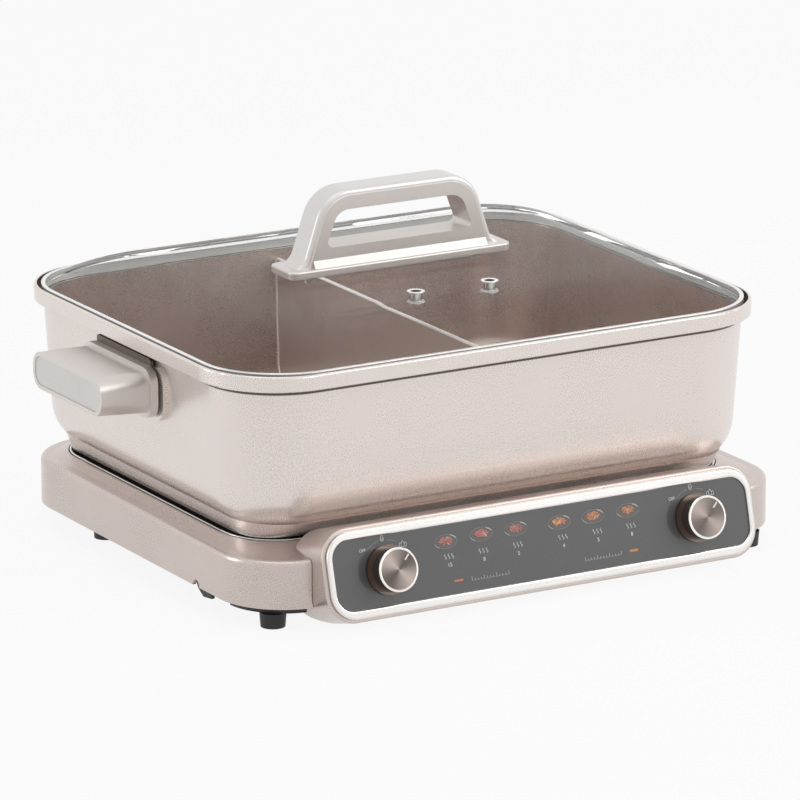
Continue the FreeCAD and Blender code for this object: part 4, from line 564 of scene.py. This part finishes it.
def dial_marks(name, x):
    """Off, a small flame and a large flame round a knob, with the arcs between them."""
    marks = Print(name, PRINT_WHITE, PRINT_GREY)
    marks.stroke(arc(x, 0.0, DIAL_RADIUS, DIAL_RADIUS, 133.0, 104.5, 16), 0.28, 1)
    marks.stroke(arc(x, 0.0, DIAL_RADIUS_RIGHT, DIAL_RADIUS_RIGHT, 84.0, 66.0, 12), 0.28, 1)
    low_u, low_v = x - 1.9, 21.1
    marks.stroke([(low_u + a, low_v + b) for a, b in FLAME], 0.38, closed=True)
    marks.stroke([(low_u, low_v - 0.1), (low_u + 0.4, low_v - 0.9), (low_u, low_v - 1.5),
                  (low_u - 0.4, low_v - 0.9)], 0.34, closed=True)
    high_u, high_v = x + 13.0, 15.3
    for shift, size in ((-1.9, 0.72), (0.0, 1.0), (1.9, 0.72)):
        marks.stroke([(high_u + shift + a * size, high_v + b * size - 2.0 * (1 - size))
                      for a, b in FLAME], 0.36, closed=True)
    return marks.finish()


def lettering(name, text, u, v, height):
    """Plain figures or ON/OFF words as a mesh on the panel, centred on (u, v)."""
    curve = bpy.data.curves.new(name, "FONT")
    curve.body = text
    curve.size = height * CAP_HEIGHT_TO_SIZE
    curve.align_x = "CENTER"
    curve.align_y = "CENTER"
    curve.extrude = PRINT_THICK * 1000 / 2
    curve.offset = FIGURE_WEIGHT
    holder = bpy.data.objects.new(name + "_curve", curve)
    bpy.context.scene.collection.objects.link(holder)
    bpy.context.view_layer.update()
    mesh = bpy.data.meshes.new_from_object(holder.evaluated_get(
        bpy.context.evaluated_depsgraph_get()))
    bpy.data.objects.remove(holder)
    for vertex in mesh.vertices:
        lift = PRINT_LIFT + PRINT_THICK / 2 + vertex.co.z / 1000.0
        vertex.co = on_panel(u + vertex.co.x, v + vertex.co.y, lift)
    mesh.materials.clear()
    mesh.materials.append(PRINT_WHITE)
    piece = bpy.data.objects.new(name, mesh)
    bpy.context.scene.collection.objects.link(piece)
    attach(piece, "base")
    return piece


def dish(name, u, v, food, seed):
    """A little picture of a plate of food, seen from the front and above."""
    prints = FOOD_PRINTS[food]
    picture = Print(name, PLATE_DARK, PLATE_RIM, PLATE_SHINE, *prints)
    picture.outline(ellipse(u, v, PLATE_U, PLATE_V), 0)
    picture.stroke(ellipse(u, v, PLATE_U, PLATE_V, 40), 0.34, 1, 1, closed=True)
    picture.stroke(ellipse(u, v - 0.2, 6.4, 3.0, 32), 0.2, 1, 1, closed=True)
    picture.stroke(arc(u, v, 8.4, 4.3, 20, 62, 12), 0.6, 2, 2)
    picture.stroke(arc(u, v, 8.5, 4.4, 190, 232, 12), 0.32, 2, 2)
    rng = random.Random(seed)
    places = []
    for ring, count in FOOD_RINGS:
        for n in range(count):
            turn = 2 * math.pi * (n + rng.uniform(-0.25, 0.25)) / count
            places.append((FOOD_U * ring * math.cos(turn), FOOD_V * ring * math.sin(turn)))
    places.sort(key=lambda place: -place[1])
    for layer, (a, b) in enumerate(places):
        tone = 3 + rng.choice((0, 0, 0, 1, 2))
        turn = rng.uniform(-0.9, 0.9)
        long, short = rng.uniform(1.1, 1.9), rng.uniform(0.5, 0.85)
        level = 2 + layer % 4
        picture.outline(ellipse(u + a, v + b + 0.5, long, short, 12, turn), tone, level)
        picture.stroke(ellipse(u + a - 0.1, v + b + 0.62, long * 0.55, short * 0.4, 8, turn),
                       0.16, 5, level + 1, closed=True)
    return picture.finish()


def steam(name, u, v):
    """Three short wavy lines, as over a hot dish."""
    marks = Print(name, PRINT_WHITE)
    for shift in (-STEAM_GAP, 0.0, STEAM_GAP):
        marks.stroke([(u + shift + STEAM_SWAY * math.sin(n * 2 * math.pi / STEAM_STEPS),
                       v - STEAM_HEIGHT / 2 + STEAM_HEIGHT * n / STEAM_STEPS)
                      for n in range(STEAM_STEPS + 1)], 0.42)
    return marks.finish()


def minute_scale(name, u, v, length):
    """A short ruled scale: a fine line with a tick at every minute."""
    marks = Print(name, PRINT_GREY, PRINT_WHITE)
    foot = v - SCALE_DROP
    marks.stroke([(u - length / 2, foot), (u + length / 2, foot)], 0.22)
    for n in range(SCALE_STEPS + 1):
        tall = 2.5 if n % 4 == 0 else 1.4
        at = u - length / 2 + length * n / SCALE_STEPS
        marks.stroke([(at, foot), (at, foot + tall)], 0.26, 1)
    return marks.finish()


# Each dish: its place, its food, its minutes, and where the steam and minutes stand.
DISHES = ((-73.7, 11.9, "rose", "15", -72.6), (-46.5, 12.8, "meat", "8", -46.4),
          (-20.2, 12.6, "rose", "5", -20.0), (13.2, 12.0, "amber", "4", 14.6),
          (39.2, 12.2, "amber", "5", 41.4), (66.4, 12.3, "amber", "8", 67.5))
for number, (u, v, food, minutes, label_u) in enumerate(DISHES, start=1):
    dish("dish_%d" % number, u, v, food, 40 + number)
    steam("dish_steam_%d" % number, label_u, 2.0)
    lettering("dish_minutes_%d" % number, minutes, label_u, -3.7, 2.6)
for word, side in (("left", -1), ("right", 1)):
    dial_marks("dial_marks_" + word, side * KNOB_X * 1000)
    lettering("dial_off_" + word, "OFF", side * KNOB_X * 1000 - 17.2, 14.9, 2.1)
    minute_scale("minute_scale_" + word, side * 43.5, -14.8, 28.0)

# ---- floor, light and camera --------------------------------------------------------------

FLOOR_SIZE = 14.0
FLOOR_WHITE = 0.9    # share of plain white in the floor; the rest is lit and takes the shadow
CAMERA_PLACE = (-2.1836, -3.7432, 1.2972)
CAMERA_AZIMUTH, CAMERA_ELEVATION = 30.17, 15.52    # degrees to the left of front, and up
CAMERA_LENS, CAMERA_SENSOR, CAMERA_REACH = 298.71, 36.0, 60.0
FLOOR_GREY = 0.95
AMBIENT = 0.4        # the room's even light on the object
TARGET = Vector((0.0, 0.0, 0.12))    # what every lamp faces


def sees_white(tree, share):
    """That share for rays from the camera, off metal and through glass alike, else 0."""
    path = tree.nodes.new("ShaderNodeLightPath")
    total = path.outputs["Is Camera Ray"]
    for ray in ("Is Glossy Ray", "Is Transmission Ray"):
        either = tree.nodes.new("ShaderNodeMath")
        either.operation = "MAXIMUM"
        tree.links.new(total, either.inputs[0])
        tree.links.new(path.outputs[ray], either.inputs[1])
        total = either.outputs[0]
    part = tree.nodes.new("ShaderNodeMath")
    part.operation = "MULTIPLY"
    part.inputs[1].default_value = share
    tree.links.new(total, part.inputs[0])
    return part.outputs[0]


def two_layers(tree, share, lit, white, output):
    """The lit layer, with the white one over it for the rays that see the background."""
    mix = tree.nodes.new("ShaderNodeMixShader")
    tree.links.new(sees_white(tree, share), mix.inputs[0])
    tree.links.new(lit.outputs[0], mix.inputs[1])
    tree.links.new(white.outputs[0], mix.inputs[2])
    tree.links.new(mix.outputs[0], output.inputs["Surface"])


def stage_material(name, color, share):
    """A pale matt floor that keeps a soft shadow."""
    material = bpy.data.materials.new(name)
    material.use_nodes = True
    tree = material.node_tree
    tree.nodes.clear()
    matt = tree.nodes.new("ShaderNodeBsdfDiffuse")
    matt.inputs["Color"].default_value = (color, color, color, 1.0)
    two_layers(tree, share, matt, tree.nodes.new("ShaderNodeEmission"),
               tree.nodes.new("ShaderNodeOutputMaterial"))
    return material


def lay_floor():
    """One wide plain square under the feet."""
    mesh = bpy.data.meshes.new("floor")
    half = FLOOR_SIZE / 2
    mesh.from_pydata([(-half, -half, 0), (half, -half, 0), (half, half, 0), (-half, half, 0)],
                     [], [(0, 1, 2, 3)])
    floor = bpy.data.objects.new("floor", mesh)
    floor.data.materials.append(stage_material("floor", FLOOR_GREY, FLOOR_WHITE))
    bpy.context.scene.collection.objects.link(floor)


def light_room():
    """An even light on the object, and plain white wherever the room itself is seen."""
    world = bpy.data.worlds.new("studio")
    bpy.context.scene.world = world
    world.use_nodes = True
    tree = world.node_tree
    tree.nodes.clear()
    room, plain_white = (tree.nodes.new("ShaderNodeBackground") for _ in range(2))
    room.inputs["Color"].default_value = (0.98, 0.99, 1.0, 1.0)
    room.inputs["Strength"].default_value = AMBIENT
    plain_white.inputs["Color"].default_value = (1.0, 1.0, 1.0, 1.0)
    two_layers(tree, 1.0, room, plain_white, tree.nodes.new("ShaderNodeOutputWorld"))


def softbox(name, azimuth, elevation, distance, width, height, brightness):
    """A rectangular lamp that faces the object; azimuth 0 is in front, 90 to the right."""
    turn, lift = math.radians(azimuth), math.radians(elevation)
    place = TARGET + distance * Vector((math.sin(turn) * math.cos(lift),
                                        -math.cos(turn) * math.cos(lift), math.sin(lift)))
    lamp = bpy.data.lights.new(name, "AREA")
    lamp.shape = "RECTANGLE"
    lamp.size = width
    lamp.size_y = height
    lamp.energy = brightness * math.pi * width * height
    light = bpy.data.objects.new(name, lamp)
    light.location = place
    light.rotation_euler = (TARGET - place).to_track_quat("-Z", "Y").to_euler()
    bpy.context.scene.collection.objects.link(light)


def place_camera():
    """The photograph's view, fitted to the edges of the pot, the base and the panel."""
    azimuth, elevation = math.radians(CAMERA_AZIMUTH), math.radians(CAMERA_ELEVATION)
    right = Vector((math.cos(azimuth), -math.sin(azimuth), 0.0))
    back = Vector((-math.sin(azimuth) * math.cos(elevation),
                   -math.cos(azimuth) * math.cos(elevation), math.sin(elevation)))
    up = back.cross(right)
    view = bpy.data.cameras.new("camera")
    view.sensor_width = CAMERA_SENSOR
    view.lens = CAMERA_LENS
    view.clip_end = CAMERA_REACH
    camera = bpy.data.objects.new("camera", view)
    camera.matrix_world = Matrix.Translation(CAMERA_PLACE) @ Matrix(
        (right, up, back)).transposed().to_4x4()
    bpy.context.scene.collection.objects.link(camera)
    bpy.context.scene.camera = camera


lay_floor()
light_room()
softbox("top_box", -60, 80, 2.0, 1.5, 1.3, 0.8)
softbox("front_box", 48, 30, 2.2, 2.0, 1.5, 1.9)
softbox("left_box", -112, 12, 1.6, 0.45, 1.0, 3.0)
place_camera()
bpy.context.scene.view_settings.view_transform = "Standard"
